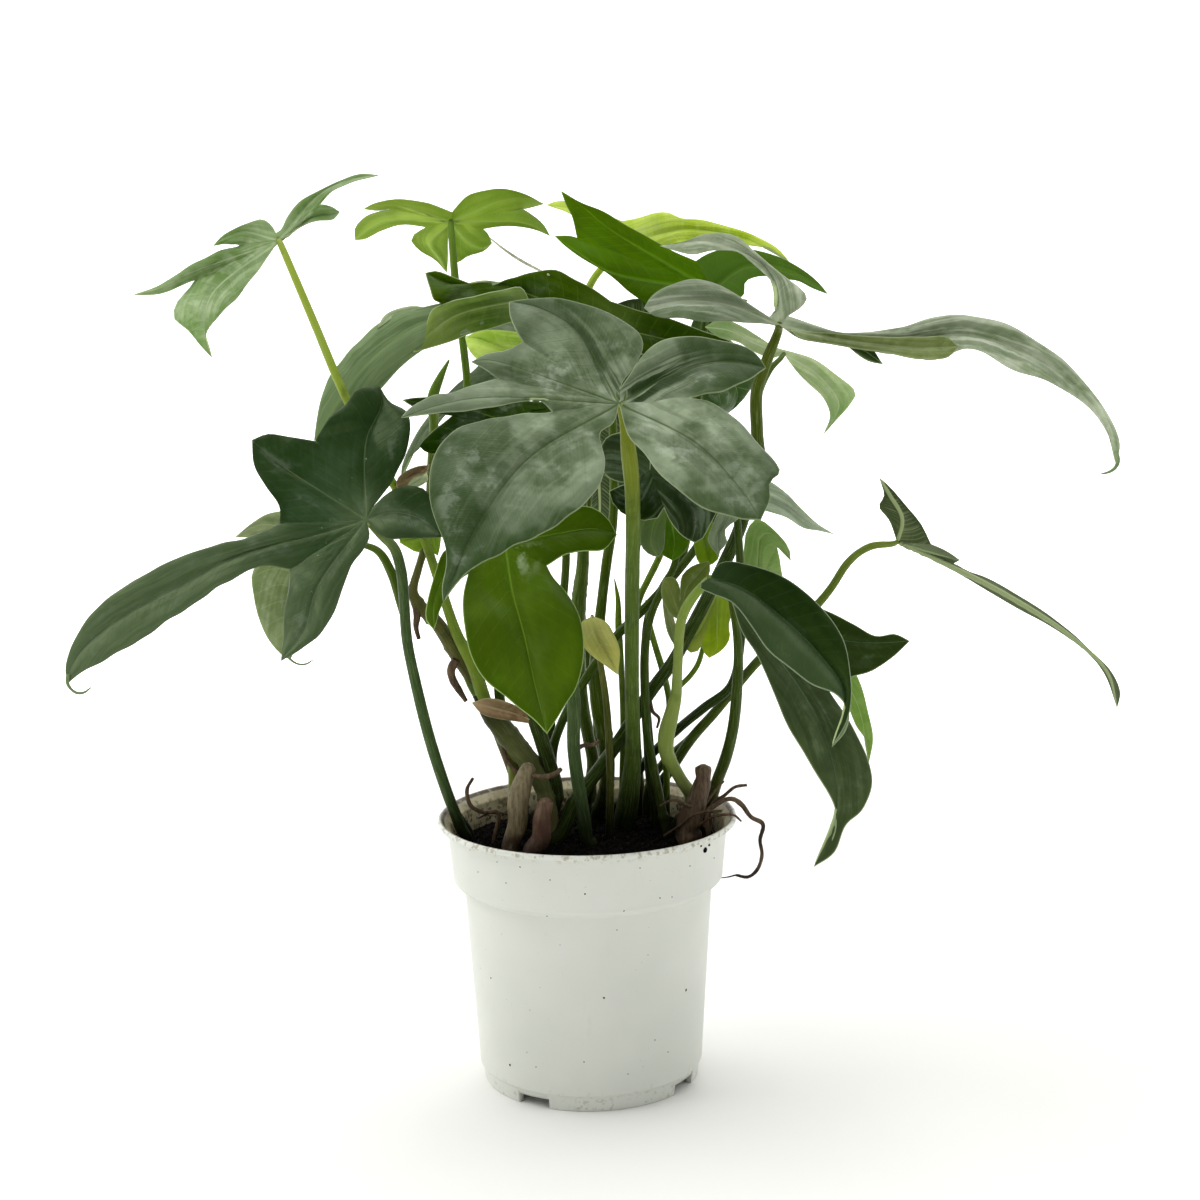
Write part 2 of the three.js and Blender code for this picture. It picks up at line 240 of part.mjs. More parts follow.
// Stalks: the foot is [x, y, radius] in mm on the soil, and each path mark is a landmark with the radius there.
const stalks = [
  {id: "petiole_01", foot: [-30, 10, 3.0], path: [[513, 756, 7, 2.9], [498, 728, 7, 2.9],
   [486, 704, 7, 2.8], [474, 668, 6, 2.6], [456, 632, 4, 2.2], [440, 585, 2, 1.9], [420, 530, -2, 1.8],
   [385, 470, -6, 1.7], [347, 400, -8, 1.7], [313, 320, 4, 1.6], [281, 245, 16, 1.3]]},
  {id: "petiole_02", foot: [-26, 22, 2.4], path: [[519, 775, 20, 2.2], [506, 735, 19, 2.2],
   [499, 690, 17, 2.1], [498, 650, 16, 2], [490, 560, 16, 1.8], [476, 470, 22, 1.7],
   [469, 405, 30, 1.6], [466, 370, 35, 1.6], [462, 335, 38, 1.6], [455, 277, 43, 1.6],
   [451, 226, 48.5, 1.3]]},
  {id: "petiole_03", foot: [4, 31, 3.0], path: [[607, 782, 22, 3], [605, 738, 18, 3.3],
   [598, 705, 14, 3.1], [596, 665, 12, 2.8], [602, 600, 12, 2.1], [607, 560, 14, 2.1],
   [613, 520, 16, 1.9], [613, 430, 22, 1.7], [606, 335, 16, 1.5]]},
  {id: "petiole_04", foot: [15, 17, 4.6], path: [[629, 795, 13, 4.3], [633, 755, 7, 3.3],
   [632, 690, -6, 2.9], [632, 600, -24, 2.9], [633, 520, -40, 2.8], [632, 485, -46, 2.9],
   [629, 455, -52, 3], [624, 420, -56, 1.8]]},
  {id: "petiole_05", foot: [-15, -3, 3.2], path: [[560, 836, -1, 3.2], [574, 803, 5, 3],
   [591, 780, 9, 2.8], [619, 741, 12, 2.7], [649, 694, 9, 2.6], [674, 660, 6, 2.6], [690, 630, 2, 2.6],
   [706, 600, -2, 2.6], [735, 540, -8, 2.6], [746, 510, -11, 2.5], [759, 470, -14, 2.5],
   [757, 430, -17, 2.4], [757, 390, -19, 2.4], [767, 360, -19, 2.2], [778, 332, -16, 1.7]]},
  {id: "petiole_06", foot: [28, 19, 2.5], path: [[656, 812, 19, 2.2], [651, 775, 19, 2.4],
   [648, 735, 20, 2.1], [645, 690, 19, 1.9], [645, 650, 16, 1.8], [650, 612, 15, 1.8],
   [664, 585, 15, 1.7], [684, 550, 18, 1.7], [692, 460, 24, 1.7], [700, 380, 29, 1.6],
   [708, 297, 30, 1.3]]},
  {id: "petiole_07", foot: [-2, 35, 2.6], path: [[593, 765, 34, 2.6], [588, 735, 34, 2.6],
   [582, 700, 35, 2.7], [578, 650, 38, 3], [579, 600, 42, 3.1], [583, 560, 46, 2.6],
   [580, 450, 56, 1.8], [576, 350, 65, 1.7], [588, 290, 72, 1.6], [604, 266, 77, 1.5],
   [634, 244, 81, 1.2]]},
  {id: "petiole_08", foot: [-13, 16, 2.2], path: [[553, 785, 18, 2], [553, 750, 13, 1.9],
   [562, 722, 8, 1.8], [575, 697, 4, 1.8], [600, 657, 1, 1.8], [622, 630, -3, 1.8], [642, 611, -2, 1.8],
   [665, 586, 0, 1.7], [690, 556, 2, 1.7], [722, 510, 1, 1.6], [750, 472, -2, 1.5], [758, 430, -5, 1.4],
   [759, 395, -6, 1.3], [770, 370, -2, 1.2], [781, 358, 4, 1]]},
  {id: "petiole_09", foot: [-49, 5.5, 2.4], path: [[461, 828, 4, 2.4], [455, 813, 2, 2.3],
   [448, 795, 0, 2.3], [430, 740, -7, 2.3], [415, 680, -14, 2.2], [407, 640, -19, 2.1],
   [404, 600, -24, 2.1], [401, 570, -30, 2.1], [394, 548, -33, 2.0], [381, 535, -36, 1.7],
   [370, 524, -35.5, 1.3]]},
  {id: "petiole_10", foot: [-48.2, 13.2, 1.6], path: [[451, 803, 11, 1.3], [429, 740, 4, 1.3],
   [413, 680, 1, 1.3], [407, 630, 0, 1.5], [400, 600, 2, 1.9], [391, 572, 3, 1.9], [378, 551, 5, 1.6],
   [357, 543, 7, 1]]},
  {id: "petiole_11", foot: [1, -4, 3.0], path: [[588, 842, -4, 2.9], [583, 812, -6, 2.7],
   [574, 751, -13, 2.6], [573, 690, -20, 2.6], [560, 640, -24, 2.2], [530, 590, -28, 2.0],
   [509, 550, -34, 1.5]]},
  {id: "petiole_12", foot: [37, 13, 3.4], path: [[693, 802, 9, 3], [680, 778, 3, 2.5],
   [667, 754, -3, 3], [666, 738, -5, 3.3], [671, 716, -9, 3], [676, 696, -13, 2.3], [677, 680, -18, 2],
   [678, 660, -23, 1.9], [679, 638, -30, 1.9], [682, 618, -37, 1.9], [691, 600, -45, 1.9],
   [706, 582, -53, 1.5]]},
  {id: "petiole_13", foot: [45, 19, 2.5], path: [[711, 798, 16, 2.5], [717, 781, 12, 2.4],
   [726, 757, 7, 2.4], [733, 728, 0, 2.3], [737, 690, -8, 2.2], [738, 645, -17, 1.8],
   [731, 598, -28, 1.3]]},
  {id: "petiole_14", foot: [31, 36, 2.2], path: [[658, 790, 34, 2.1], [672, 768, 26, 2.1],
   [692, 738, 18, 2.1], [715, 712, 12, 2.0], [757, 662, 4, 1.9], [795, 625, 0, 1.8], [816, 606, -1, 1.7],
   [831, 588, 0, 1.6], [846, 565, 1, 1.6], [857, 554, 2, 1.5], [872, 546, 4, 1.5], [892, 544, 7, 1.2]]},
  {id: "petiole_15", foot: [18, 31, 1.9], path: [[631, 785, 27, 1.8], [634, 730, 22, 1.7],
   [634, 650, 9, 1.6], [634, 580, 0, 1.5], [636, 520, -12, 1.5], [646, 479, -22, 1.2]]},
  {id: "petiole_16", foot: [10, 43, 2.2], path: [[622, 800, 40, 2], [645, 762, 32, 1.9],
   [677, 730, 22, 1.9], [705, 707, 8, 1.9], [730, 687, 4, 1.8], [741, 640, -4, 1.7],
   [740, 560, -22, 1.6], [735, 491, -31, 1.2]]},
  {id: "petiole_17", foot: [32, 5, 1.9], path: [[660, 800, 8, 1.8], [652, 760, 8, 1.8],
   [647, 735, 4, 1.7], [645, 690, 0, 1.7], [645, 650, -4, 1.6], [651, 615, -6, 1.6], [663, 588, -8, 1.5],
   [674, 566, -10, 1.4], [678, 540, -11, 1.3], [670, 508, -10, 1.0]]},
  {id: "petiole_18", foot: [28, 26, 1.4], path: [[666, 790, 22, 1.4], [665, 750, 16, 1.3],
   [667, 715, 14, 1.2], [675, 692, 11, 1.1], [690, 676, 9, 1.1], [698, 664, 10, 1.1], [703, 648, 12, 1],
   [712, 620, 14, 0.9], [717, 598, 14, 0.8]]},
  {id: "petiole_19", foot: [9, 6, 1.7], path: [[610, 785, 4, 1.6], [609, 740, -1, 1.5],
   [606, 700, -4, 1.4], [600, 660, -9, 1.2], [594, 622, -11, 0.9]]},
  {id: "petiole_20", foot: [-14, 30, 2.1], path: [[549, 800, 30, 2], [550, 750, 26, 1.9],
   [553, 690, 16, 1.8], [562, 610, 5, 1.7], [566, 560, -3, 1.6], [565, 500, -10, 1.5],
   [562, 450, -13, 1.5], [561, 358, -16, 1.1]]},
  {id: "petiole_21", foot: [-18, 7, 3.0], path: [[556, 795, 6, 3], [549, 764, 3, 3.1],
   [541, 738, 0, 3], [533, 715, -3, 2.7], [522, 660, -10, 2], [526, 560, -20, 1.7],
   [529, 435, -28, 1.2]]},
  {id: "petiole_22", foot: [22, 44, 2.0], path: [[640, 790, 44, 1.9], [635, 720, 42, 1.8],
   [632, 650, 42, 1.7], [633, 580, 43, 1.6], [642, 520, 45, 1.6], [662, 460, 50, 1.5],
   [684, 400, 55, 1.4], [690, 356, 57, 1.1]]},
  {id: "petiole_23", foot: [-18, 42, 2.0], path: [[548, 790, 44, 1.9], [546, 700, 50, 1.8],
   [540, 600, 60, 1.7], [534, 480, 70, 1.6], [536, 400, 74, 1.5],
   [539, 338, 70, 1.0]]},
  {id: "petiole_24", foot: [3, 47, 2.0], path: [[592, 790, 50, 1.9], [597, 720, 56, 1.8],
   [588, 660, 61, 1.7], [581, 600, 66, 1.7], [586, 520, 74, 1.6], [597, 440, 79, 1.4],
   [600, 386, 80, 1.1]]},
  {id: "petiole_25", foot: [25, 37, 1.8], path: [[648, 788, 39, 1.7], [664, 762, 37, 1.7],
   [690, 738, 31, 1.6], [716, 711, 25, 1.6], [752, 668, 18, 1.5], [766, 645, 14, 1.4],
   [766, 615, 13, 1.2], [754, 596, 12, 1]]},
  {id: "shoot", foot: [-31, 28, 2.4], path: [[516, 785, 27, 2.4], [502, 742, 24, 2.4],
   [486, 702, 19, 2.6], [470, 674, 15, 3.1], [458, 655, 11, 3.4], [446, 636, 8, 3.1],
   [436, 622, 6, 2.8], [420, 606, 4, 2.7], [413, 592, 3, 2], [418, 570, 4, 1.6], [425, 545, 7, 1.6],
   [429, 510, 8, 1.6], [431, 465, 5, 1.6], [434, 425, -2, 1.8], [433, 397, -5, 2.2],
   [440, 378, -5, 1.5], [449, 360, -5, 0.4]]},
  {id: "stub_left", tone: "dry", foot: [-31, -10, 3.6], path: [[518, 822, -10, 3.9],
   [518, 803, -9, 4.3], [523, 782, -8, 3.8], [530, 765, -7, 2.5]]},
  {id: "stub_middle", tone: "dry", foot: [-22, -15, 4.0], path: [[541, 838, -15, 3.8],
   [542, 818, -15, 3.5], [547, 800, -15, 2.6]]},
  {id: "stub_right", tone: "dry", foot: [41, -3, 5.2], path: [[688, 828, -3, 5.0], [697, 800, -3, 4.0],
   [703, 780, -3, 3.3], [703, 766, -3, 3.0]]},
  {id: "root_left", tone: "root", foot: [-38, 0, 0.9], path: [[498, 813, 0, 0.9], [483, 812, 0, 0.9],
   [471, 806, 0, 0.9], [467, 790, 0, 0.8], [473, 778, 0, 0.6]]},
  {id: "root_hanging", tone: "root", foot: [49, -6, 1.0], path: [[707, 812, -6, 1.0], [716, 805, -5, 1.0],
   [724, 800, -4, 1.0], [733, 799, -3, 1.0], [742, 805, -2, 1.0], [751, 817, -2, 0.9], [763, 824, -2, 0.9],
   [760, 840, -2, 0.8], [762, 855, -2, 0.8], [757, 870, -2, 0.8], [748, 877, -2, 0.7],
   [736, 875, -2, 0.6]]},
  {id: "root_right", tone: "root", foot: [49, 7, 0.8], path: [[712, 805, 7, 0.8], [725, 795, 7, 0.7],
   [735, 787, 7, 0.7], [747, 785, 7, 0.6]]}
];

const forward = new THREE.Vector3(
  Math.sin(view.turn) * Math.cos(view.pitch),
  Math.cos(view.turn) * Math.cos(view.pitch),
  -Math.sin(view.pitch),
);
const levelRight = new THREE.Vector3(Math.cos(view.turn), -Math.sin(view.turn), 0);
const levelUp = levelRight.clone().cross(forward);
const right = levelRight.clone().applyAxisAngle(forward, -view.roll);
const up = levelUp.clone().applyAxisAngle(forward, -view.roll);

function at([across, down, depth]) {
  const ray = forward
    .clone()
    .addScaledVector(right, (across - view.middle) / view.unitsPerRadian)
    .addScaledVector(up, (view.middle - down) / view.unitsPerRadian);
  return view.eye.clone().addScaledVector(ray, (depth - view.eye.y) / ray.y);
}

const flatDistance = (a, b) => Math.hypot(a[0] - b[0], a[1] - b[1]);
const mix = (a, b, t) => a.map((value, i) => value * (1 - t) + b[i] * t);
const smooth = (t) => t * t * (3 - 2 * t);

// Points evenly spaced along a smooth line through the landmarks.
function spaced(points, count) {
  if (points.length === 2) return Array.from({ length: count + 1 }, (_, i) => mix(points[0], points[1], i / count));
  const curve = new THREE.CatmullRomCurve3(
    points.map(([across, down]) => new THREE.Vector3(across, down, 0)),
    false,
    "centripetal",
  );
  return curve.getSpacedPoints(count).map((p) => [p.x, p.y]);
}

function geometryOf(vertices, faces) {
  const geometry = new THREE.BufferGeometry();
  geometry.setAttribute("position", new THREE.Float32BufferAttribute(vertices.flatMap((v) => [v.x, v.y, v.z]), 3));
  geometry.setIndex(faces.flat());
  return geometry;
}

const lobeRows = (leaf, lobe) => {
  const reach = flatDistance(lobe.tip, leaf.join);
  return reach > 170 ? 9 : reach > 100 ? 7 : reach > 60 ? 6 : 5;
};

// Rows of a lobe that lie on the line from the leaf's join to a gap between two lobes.
function innerRows(leaf, before, after) {
  const rows = Math.min(lobeRows(leaf, before), lobeRows(leaf, after));
  const reach = (flatDistance(before.tip, leaf.join) + flatDistance(after.tip, leaf.join)) / 2;
  return Math.max(1, Math.min(rows - 2, Math.round((rows * flatDistance(before.gap, leaf.join)) / reach)));
}

// A blade is a fan of lobes round its join. Each lobe has a rib, and on either side of it a sheet out to the edge.
function bladeSheet(leaf) {
  const [joinAcross, joinDown, joinDepth] = leaf.join;
  const [leanRight, leanUp] = leaf.lean;
  const plane = ([across, down]) =>
    joinDepth + leanRight * (across - joinAcross) * mmPerUnit + leanUp * (joinDown - down) * mmPerUnit;
  const slots = new Map();
  const marks = [];
  const put = (mark) => {
    const key = mark.map((value) => value.toFixed(2)).join();
    if (!slots.has(key)) {
      slots.set(key, marks.length);
      marks.push(mark);
    }
    return slots.get(key);
  };
  const faces = [];
  const last = leaf.lobes.length - 1;
  leaf.lobes.forEach((lobe, index) => {
    const rows = lobeRows(leaf, lobe);
    const bend = lobe.tip[2];
    const tip = lobe.tip.slice(0, 2);
    const sides = [0, 1].map((side) => {
      const owner = side === 0 ? leaf.lobes[index - 1] : lobe;
      const open = side === 0 ? index === 0 : index === last;
      const inner = open ? 0 : innerRows(leaf, owner, leaf.lobes[side === 0 ? index : index + 1]);
      const start = open ? leaf.join.slice(0, 2) : owner.gap.slice(0, 2);
      const marksOut = side === 0 ? lobe.to : [...lobe.back].reverse();
      return { inner, start, line: spaced([start, ...marksOut, tip], rows - inner) };
    });
    const between = (share) => {
      const [a, b] = sides.map(({ line }) => line[Math.round(share * (line.length - 1))]);
      return mix(a, b, 0.5);
    };
    let ribMarks = lobe.rib;
    if (!ribMarks) {
      const near = between(0.35);
      const far = between(0.7);
      const turnsBack =
        (near[0] - joinAcross) * (far[0] - near[0]) + (near[1] - joinDown) * (far[1] - near[1]) < 0;
      ribMarks = turnsBack ? [far] : [near, far];
    }
    const rib = spaced([leaf.join.slice(0, 2), ...ribMarks, tip], rows);
    const ribSlots = rib.map((p, row) => put([...p, plane(p) + bend * (row / rows) ** 2]));
    sides.forEach(({ inner, start, line }, side) => {
      const edgeSlots = rib.map((ribPoint, row) => {
        if (row === 0 || row === rows) return ribSlots[row];
        if (row < inner) {
          const p = mix(leaf.join.slice(0, 2), start, row / inner);
          return put([...p, plane(p)]);
        }
        const p = line[row - inner];
        const share = (row - inner) / (rows - inner);
        const spread = flatDistance(p, ribPoint) * mmPerUnit;
        const fold = (lobe.fold || 0) * spread * smooth(Math.min(1, share / 0.3));
        return put([...p, plane(p) + bend * share ** 2 + fold]);
      });
      for (let row = 0; row < rows; row++) {
        const quad = [ribSlots[row], ribSlots[row + 1], edgeSlots[row + 1], edgeSlots[row]];
        if (side === 1) quad.reverse();
        for (const face of [[quad[0], quad[1], quad[2]], [quad[0], quad[2], quad[3]]])
          if (new Set(face).size === 3) faces.push(face);
      }
    });
  });
  return { vertices: marks.map(at), faces };
}

// The sheet made solid: both faces stand half the thickness off it, and a strip closes the edge all round.
function thickened({ vertices, faces }, thick) {
  const normals = vertices.map(() => new THREE.Vector3());
  for (const [a, b, c] of faces) {
    const across = vertices[b].clone().sub(vertices[a]);
    const normal = across.cross(vertices[c].clone().sub(vertices[a]));
    for (const corner of [a, b, c]) normals[corner].add(normal);
  }
  normals.forEach((normal) => normal.normalize());
  const count = vertices.length;
  const both = [thick / 2, -thick / 2].flatMap((offset) =>
    vertices.map((v, i) => v.clone().addScaledVector(normals[i], offset)),
  );
  const solid = [...faces, ...faces.map(([a, b, c]) => [c + count, b + count, a + count])];
  const used = new Set(faces.flatMap(([a, b, c]) => [`${a} ${b}`, `${b} ${c}`, `${c} ${a}`]));
  for (const edge of used) {
    const [a, b] = edge.split(" ").map(Number);
    if (used.has(`${b} ${a}`)) continue;
    solid.push([a, a + count, b + count], [a, b + count, b]);
  }
  return geometryOf(both, solid);
}

// A round stalk through points that each carry their own radius, closed at both ends. Its first point is sunk in the
// soil straight below the second.
function stalk(marks, radii) {
  const [sunk, ...points] = marks;
  const curve = new THREE.CatmullRomCurve3(points, false, "centripetal");
  const thickest = Math.max(...radii);
  const sides = thickest > 2.4 ? 7 : thickest > 1.2 ? 6 : 5;
  const step = thickest > 1.2 ? 20 : 6;
  const rings = Math.max(4, Math.min(points.length * 2, Math.round(curve.getLength() / step)));
  const frames = curve.computeFrenetFrames(rings, false);
  const vertices = [];
  const faces = [];
  const around = Array.from({ length: sides }, (_, side) => (side / sides) * Math.PI * 2);
  const spoke = (ring, angle, radius) =>
    frames.normals[ring]
      .clone()
      .multiplyScalar(Math.cos(angle) * radius)
      .addScaledVector(frames.binormals[ring], Math.sin(angle) * radius);
  for (const angle of around) vertices.push(spoke(0, angle, radii[0]).setZ(0).add(sunk));
  for (let ring = 0; ring <= rings; ring++) {
    const t = curve.getUtoTmapping(ring / rings);
    const place = t * (points.length - 1);
    const before = Math.min(points.length - 2, Math.floor(place));
    const radius = radii[before] + (radii[before + 1] - radii[before]) * (place - before);
    const centre = curve.getPoint(t);
    for (const angle of around) vertices.push(spoke(ring, angle, radius).add(centre));
  }
  for (let ring = 0; ring <= rings; ring++)
    for (let side = 0; side < sides; side++) {
      const a = ring * sides + side;
      const b = ring * sides + ((side + 1) % sides);
      faces.push([a, b, b + sides], [a, b + sides, a + sides]);
    }
  const top = (rings + 1) * sides;
  for (let side = 1; side < sides - 1; side++)
    faces.push([0, side + 1, side], [top, top + side, top + side + 1]);
  return geometryOf(vertices, faces);
}

// A turned body: the profile runs from the axis round to the axis as [radius, height].
function turned(profile) {
  const points = profile.map(([radius, height]) => new THREE.Vector2(radius, height));
  return new THREE.LatheGeometry(points, potSegments).rotateX(Math.PI / 2);
}

function solidOf(geometry) {
  const bare = geometry.clone();
  bare.deleteAttribute("normal");
  bare.deleteAttribute("uv");
  const merged = mergeVertices(bare, 1e-4);
  return new wasm.Manifold(
    new wasm.Mesh({
      numProp: 3,
      vertProperties: merged.attributes.position.array,
      triVerts: new Uint32Array(merged.index.array),
    }),
  );
}

function cutAway(body, tools) {
  const cut = tools.reduce((left, tool) => left.subtract(solidOf(tool)), solidOf(body));
  const mesh = cut.getMesh();
  const geometry = new THREE.BufferGeometry();
  geometry.setAttribute("position", new THREE.BufferAttribute(mesh.vertProperties, 3));
  geometry.setIndex(new THREE.BufferAttribute(mesh.triVerts, 1));
  return geometry;
}

const potProfile = [
  [0, 5.4], [41, 5.4], [41.2, 0], [43.5, 0], [44.3, 6.2], [45.3, 6.9], [49.5, 77.5], [54.3, 84.3], [56.4, 106.1],
  [60, 106.7], [60.1, 107.7], [59.6, 108.7], [57.6, 108.7], [55, 104.5], [52.9, 84.8], [48.1, 77.8], [43.9, 7.4],
  [0, 7.4],
];
const soilProfile = [
  [0, 7.8], [43.3, 7.8], [47.6, 77.6], [52.4, 85], [53.8, 95.4], [50, 96.2], [0, soilTop],
];

const group = new THREE.Group();
function add(name, geometry, material) {
  const mesh = new THREE.Mesh(geometry, material);
  mesh.name = name;
  mesh.position.set(-plantMiddle.x, -plantMiddle.y, 0);
  group.add(mesh);
}

// Four drainage notches in the foot ring, a quarter turn apart.
const notches = [-122, -32, 58, 148].map((degrees) => {
  const notch = new THREE.BoxGeometry(8, 14, 8);
  notch.translate(43, 0, 0);
  return notch.rotateZ((degrees * Math.PI) / 180);
});
add("pot", cutAway(turned(potProfile), notches), finishes.pot);

const holes = stalks.map(({ foot: [x, y, radius] }) => {
  const hole = new THREE.CylinderGeometry(1, 1, 10, 8).rotateX(Math.PI / 2);
  const wide = (radius + 0.35) / Math.cos(Math.PI / 8);
  return hole.scale(wide, wide, 1).translate(x, y, holeFloor + 5);
});
add("soil", cutAway(turned(soilProfile), holes), finishes.soil);

for (const { id, tone = "stem", foot, path } of stalks) {
  const [x, y, radius] = foot;
  const ground = [footBottom, soilTop + 0.6].map((height) => new THREE.Vector3(x, y, height));
  add(id, stalk([...ground, ...path.map(at)], [radius, ...path.map((mark) => mark[3])]), finishes[tone]);
}
for (const leaf of leaves) add(`blade_${leaf.id}`, thickened(bladeSheet(leaf), bladeThick), finishes[leaf.tone]);

export default group;
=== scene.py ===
import math
import random

import bmesh
import bpy
import numpy as np
from mathutils import Matrix, Vector
from mathutils.bvhtree import BVHTree


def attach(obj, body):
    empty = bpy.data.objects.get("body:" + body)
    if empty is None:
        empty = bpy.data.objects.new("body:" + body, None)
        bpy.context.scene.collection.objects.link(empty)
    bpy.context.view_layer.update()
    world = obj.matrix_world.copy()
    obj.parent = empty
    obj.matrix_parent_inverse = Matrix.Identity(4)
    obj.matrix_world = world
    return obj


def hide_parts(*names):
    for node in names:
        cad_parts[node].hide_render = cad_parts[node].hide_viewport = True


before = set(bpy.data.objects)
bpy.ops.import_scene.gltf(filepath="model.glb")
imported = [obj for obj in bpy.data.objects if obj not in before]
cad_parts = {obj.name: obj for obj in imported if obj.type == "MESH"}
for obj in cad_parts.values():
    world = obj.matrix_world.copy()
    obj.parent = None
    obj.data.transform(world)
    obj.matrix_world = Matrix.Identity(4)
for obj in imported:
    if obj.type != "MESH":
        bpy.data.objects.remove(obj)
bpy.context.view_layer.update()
print("frame loaded,", len(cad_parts), "nodes")

# The plant is laid out as seen from in front. A landmark is across, down and depth: across and down are
# read on the view's own 1200-unit square, and depth is how many mm the point lies behind the pot's axis.
view = {
    "eye": (0.0, -855.0, 346.4),  # mm from the pot's axis, height from the floor
    "middle": 600,
    "unitsPerRadian": 2192,
    "pitch": 0.1742,
    "turn": 0.0077,
    "roll": -0.0163,
    "mmPerUnit": 0.39,
    "plantMiddle": (14.15, 11.9, 0.0),  # where the shared frame's origin lies from the pot's axis
}


def viewAxes():
    pitch, turn, roll = view["pitch"], view["turn"], view["roll"]
    level = math.cos(pitch)
    forward = np.array([math.sin(turn) * level, math.cos(turn) * level, -math.sin(pitch)])
    levelRight = np.array([math.cos(turn), -math.sin(turn), 0.0])
    levelUp = np.cross(levelRight, forward)
    right = math.cos(roll) * levelRight + math.sin(roll) * levelUp
    up = math.cos(roll) * levelUp - math.sin(roll) * levelRight
    return forward, right, up


forward, right, up = viewAxes()
eye = np.array(view["eye"])
shift = np.array(view["plantMiddle"])
mm = 0.001


def viewRay(marks):
    marks = np.asarray(marks, float)
    across = (marks[..., 0:1] - view["middle"]) / view["unitsPerRadian"]
    down = (view["middle"] - marks[..., 1:2]) / view["unitsPerRadian"]
    return forward + across * right + down * up


def placed(marks):  # landmarks to metres in the shared frame
    marks = np.asarray(marks, float)
    ray = viewRay(marks)
    point = eye + ray * ((marks[..., 2:3] - eye[1]) / ray[..., 1:2])
    return (point - shift) * mm


def fromAxis(points):  # mm from the pot's axis to metres in the shared frame
    return (np.asarray(points, float) - shift) * mm


def marksOf(text):  # marks are written "across,down,..." with spaces between them
    return [[float(n) for n in mark.split(",")] for mark in text.split()]


def laidOut(text):  # marks with a radius each, as points in mm from the pot's axis and their radii
    marks = marksOf(text)
    return placed([mark[:3] for mark in marks]) / mm + shift, [mark[3] for mark in marks]


def spaced(points, count):  # points evenly spaced along a smooth line through the given ones
    points = np.asarray(points, float)
    if len(points) == 2:
        share = np.linspace(0, 1, count + 1)[:, None]
        return points[0] * (1 - share) + points[1] * share
    padded = np.vstack([2 * points[0] - points[1], points, 2 * points[-1] - points[-2]])
    t = np.linspace(0, 1, 25)[:, None]
    pieces = []
    for i in range(len(points) - 1):
        p0, p1, p2, p3 = padded[i : i + 4]
        d0, d1, d2 = (max(np.linalg.norm(b - a), 1e-6) ** 0.5 for a, b in ((p0, p1), (p1, p2), (p2, p3)))
        leave = ((p1 - p0) / d0 - (p2 - p0) / (d0 + d1) + (p2 - p1) / d1) * d1
        arrive = ((p2 - p1) / d1 - (p3 - p1) / (d1 + d2) + (p3 - p2) / d2) * d1
        bend = (2 * t**3 - 3 * t**2 + 1) * p1 + (t**3 - 2 * t**2 + t) * leave
        pieces.append((bend + (3 * t**2 - 2 * t**3) * p2 + (t**3 - t**2) * arrive)[1 if i else 0 :])
    line = np.vstack(pieces)
    run = np.concatenate([[0], np.cumsum(np.linalg.norm(np.diff(line, axis=0), axis=1))])
    wanted = np.linspace(0, run[-1], count + 1)
    return np.stack([np.interp(wanted, run, line[:, k]) for k in range(line.shape[1])], -1)


def smoothStep(value):
    value = np.clip(value, 0, 1)
    return value * value * (3 - 2 * value)


def colour(code):  # "#rrggbb" as linear red, green, blue, alpha
    parts = [int(code[i : i + 2], 16) / 255 for i in (1, 3, 5)]
    return [p / 12.92 if p <= 0.04045 else ((p + 0.055) / 1.055) ** 2.4 for p in parts] + [1.0]


class Signal:  # a socket on which + - * / and ** add Math nodes
    def __init__(self, sheet, socket):
        self.sheet = sheet
        self.socket = socket

    def __add__(self, other):
        return self.sheet.maths("ADD", self, other)

    def __sub__(self, other):
        return self.sheet.maths("SUBTRACT", self, other)

    def __rsub__(self, other):
        return self.sheet.maths("SUBTRACT", other, self)

    def __mul__(self, other):
        return self.sheet.maths("MULTIPLY", self, other)

    def __truediv__(self, other):
        return self.sheet.maths("DIVIDE", self, other)

    def __pow__(self, other):
        return self.sheet.maths("POWER", self, other)

    __radd__ = __add__
    __rmul__ = __mul__


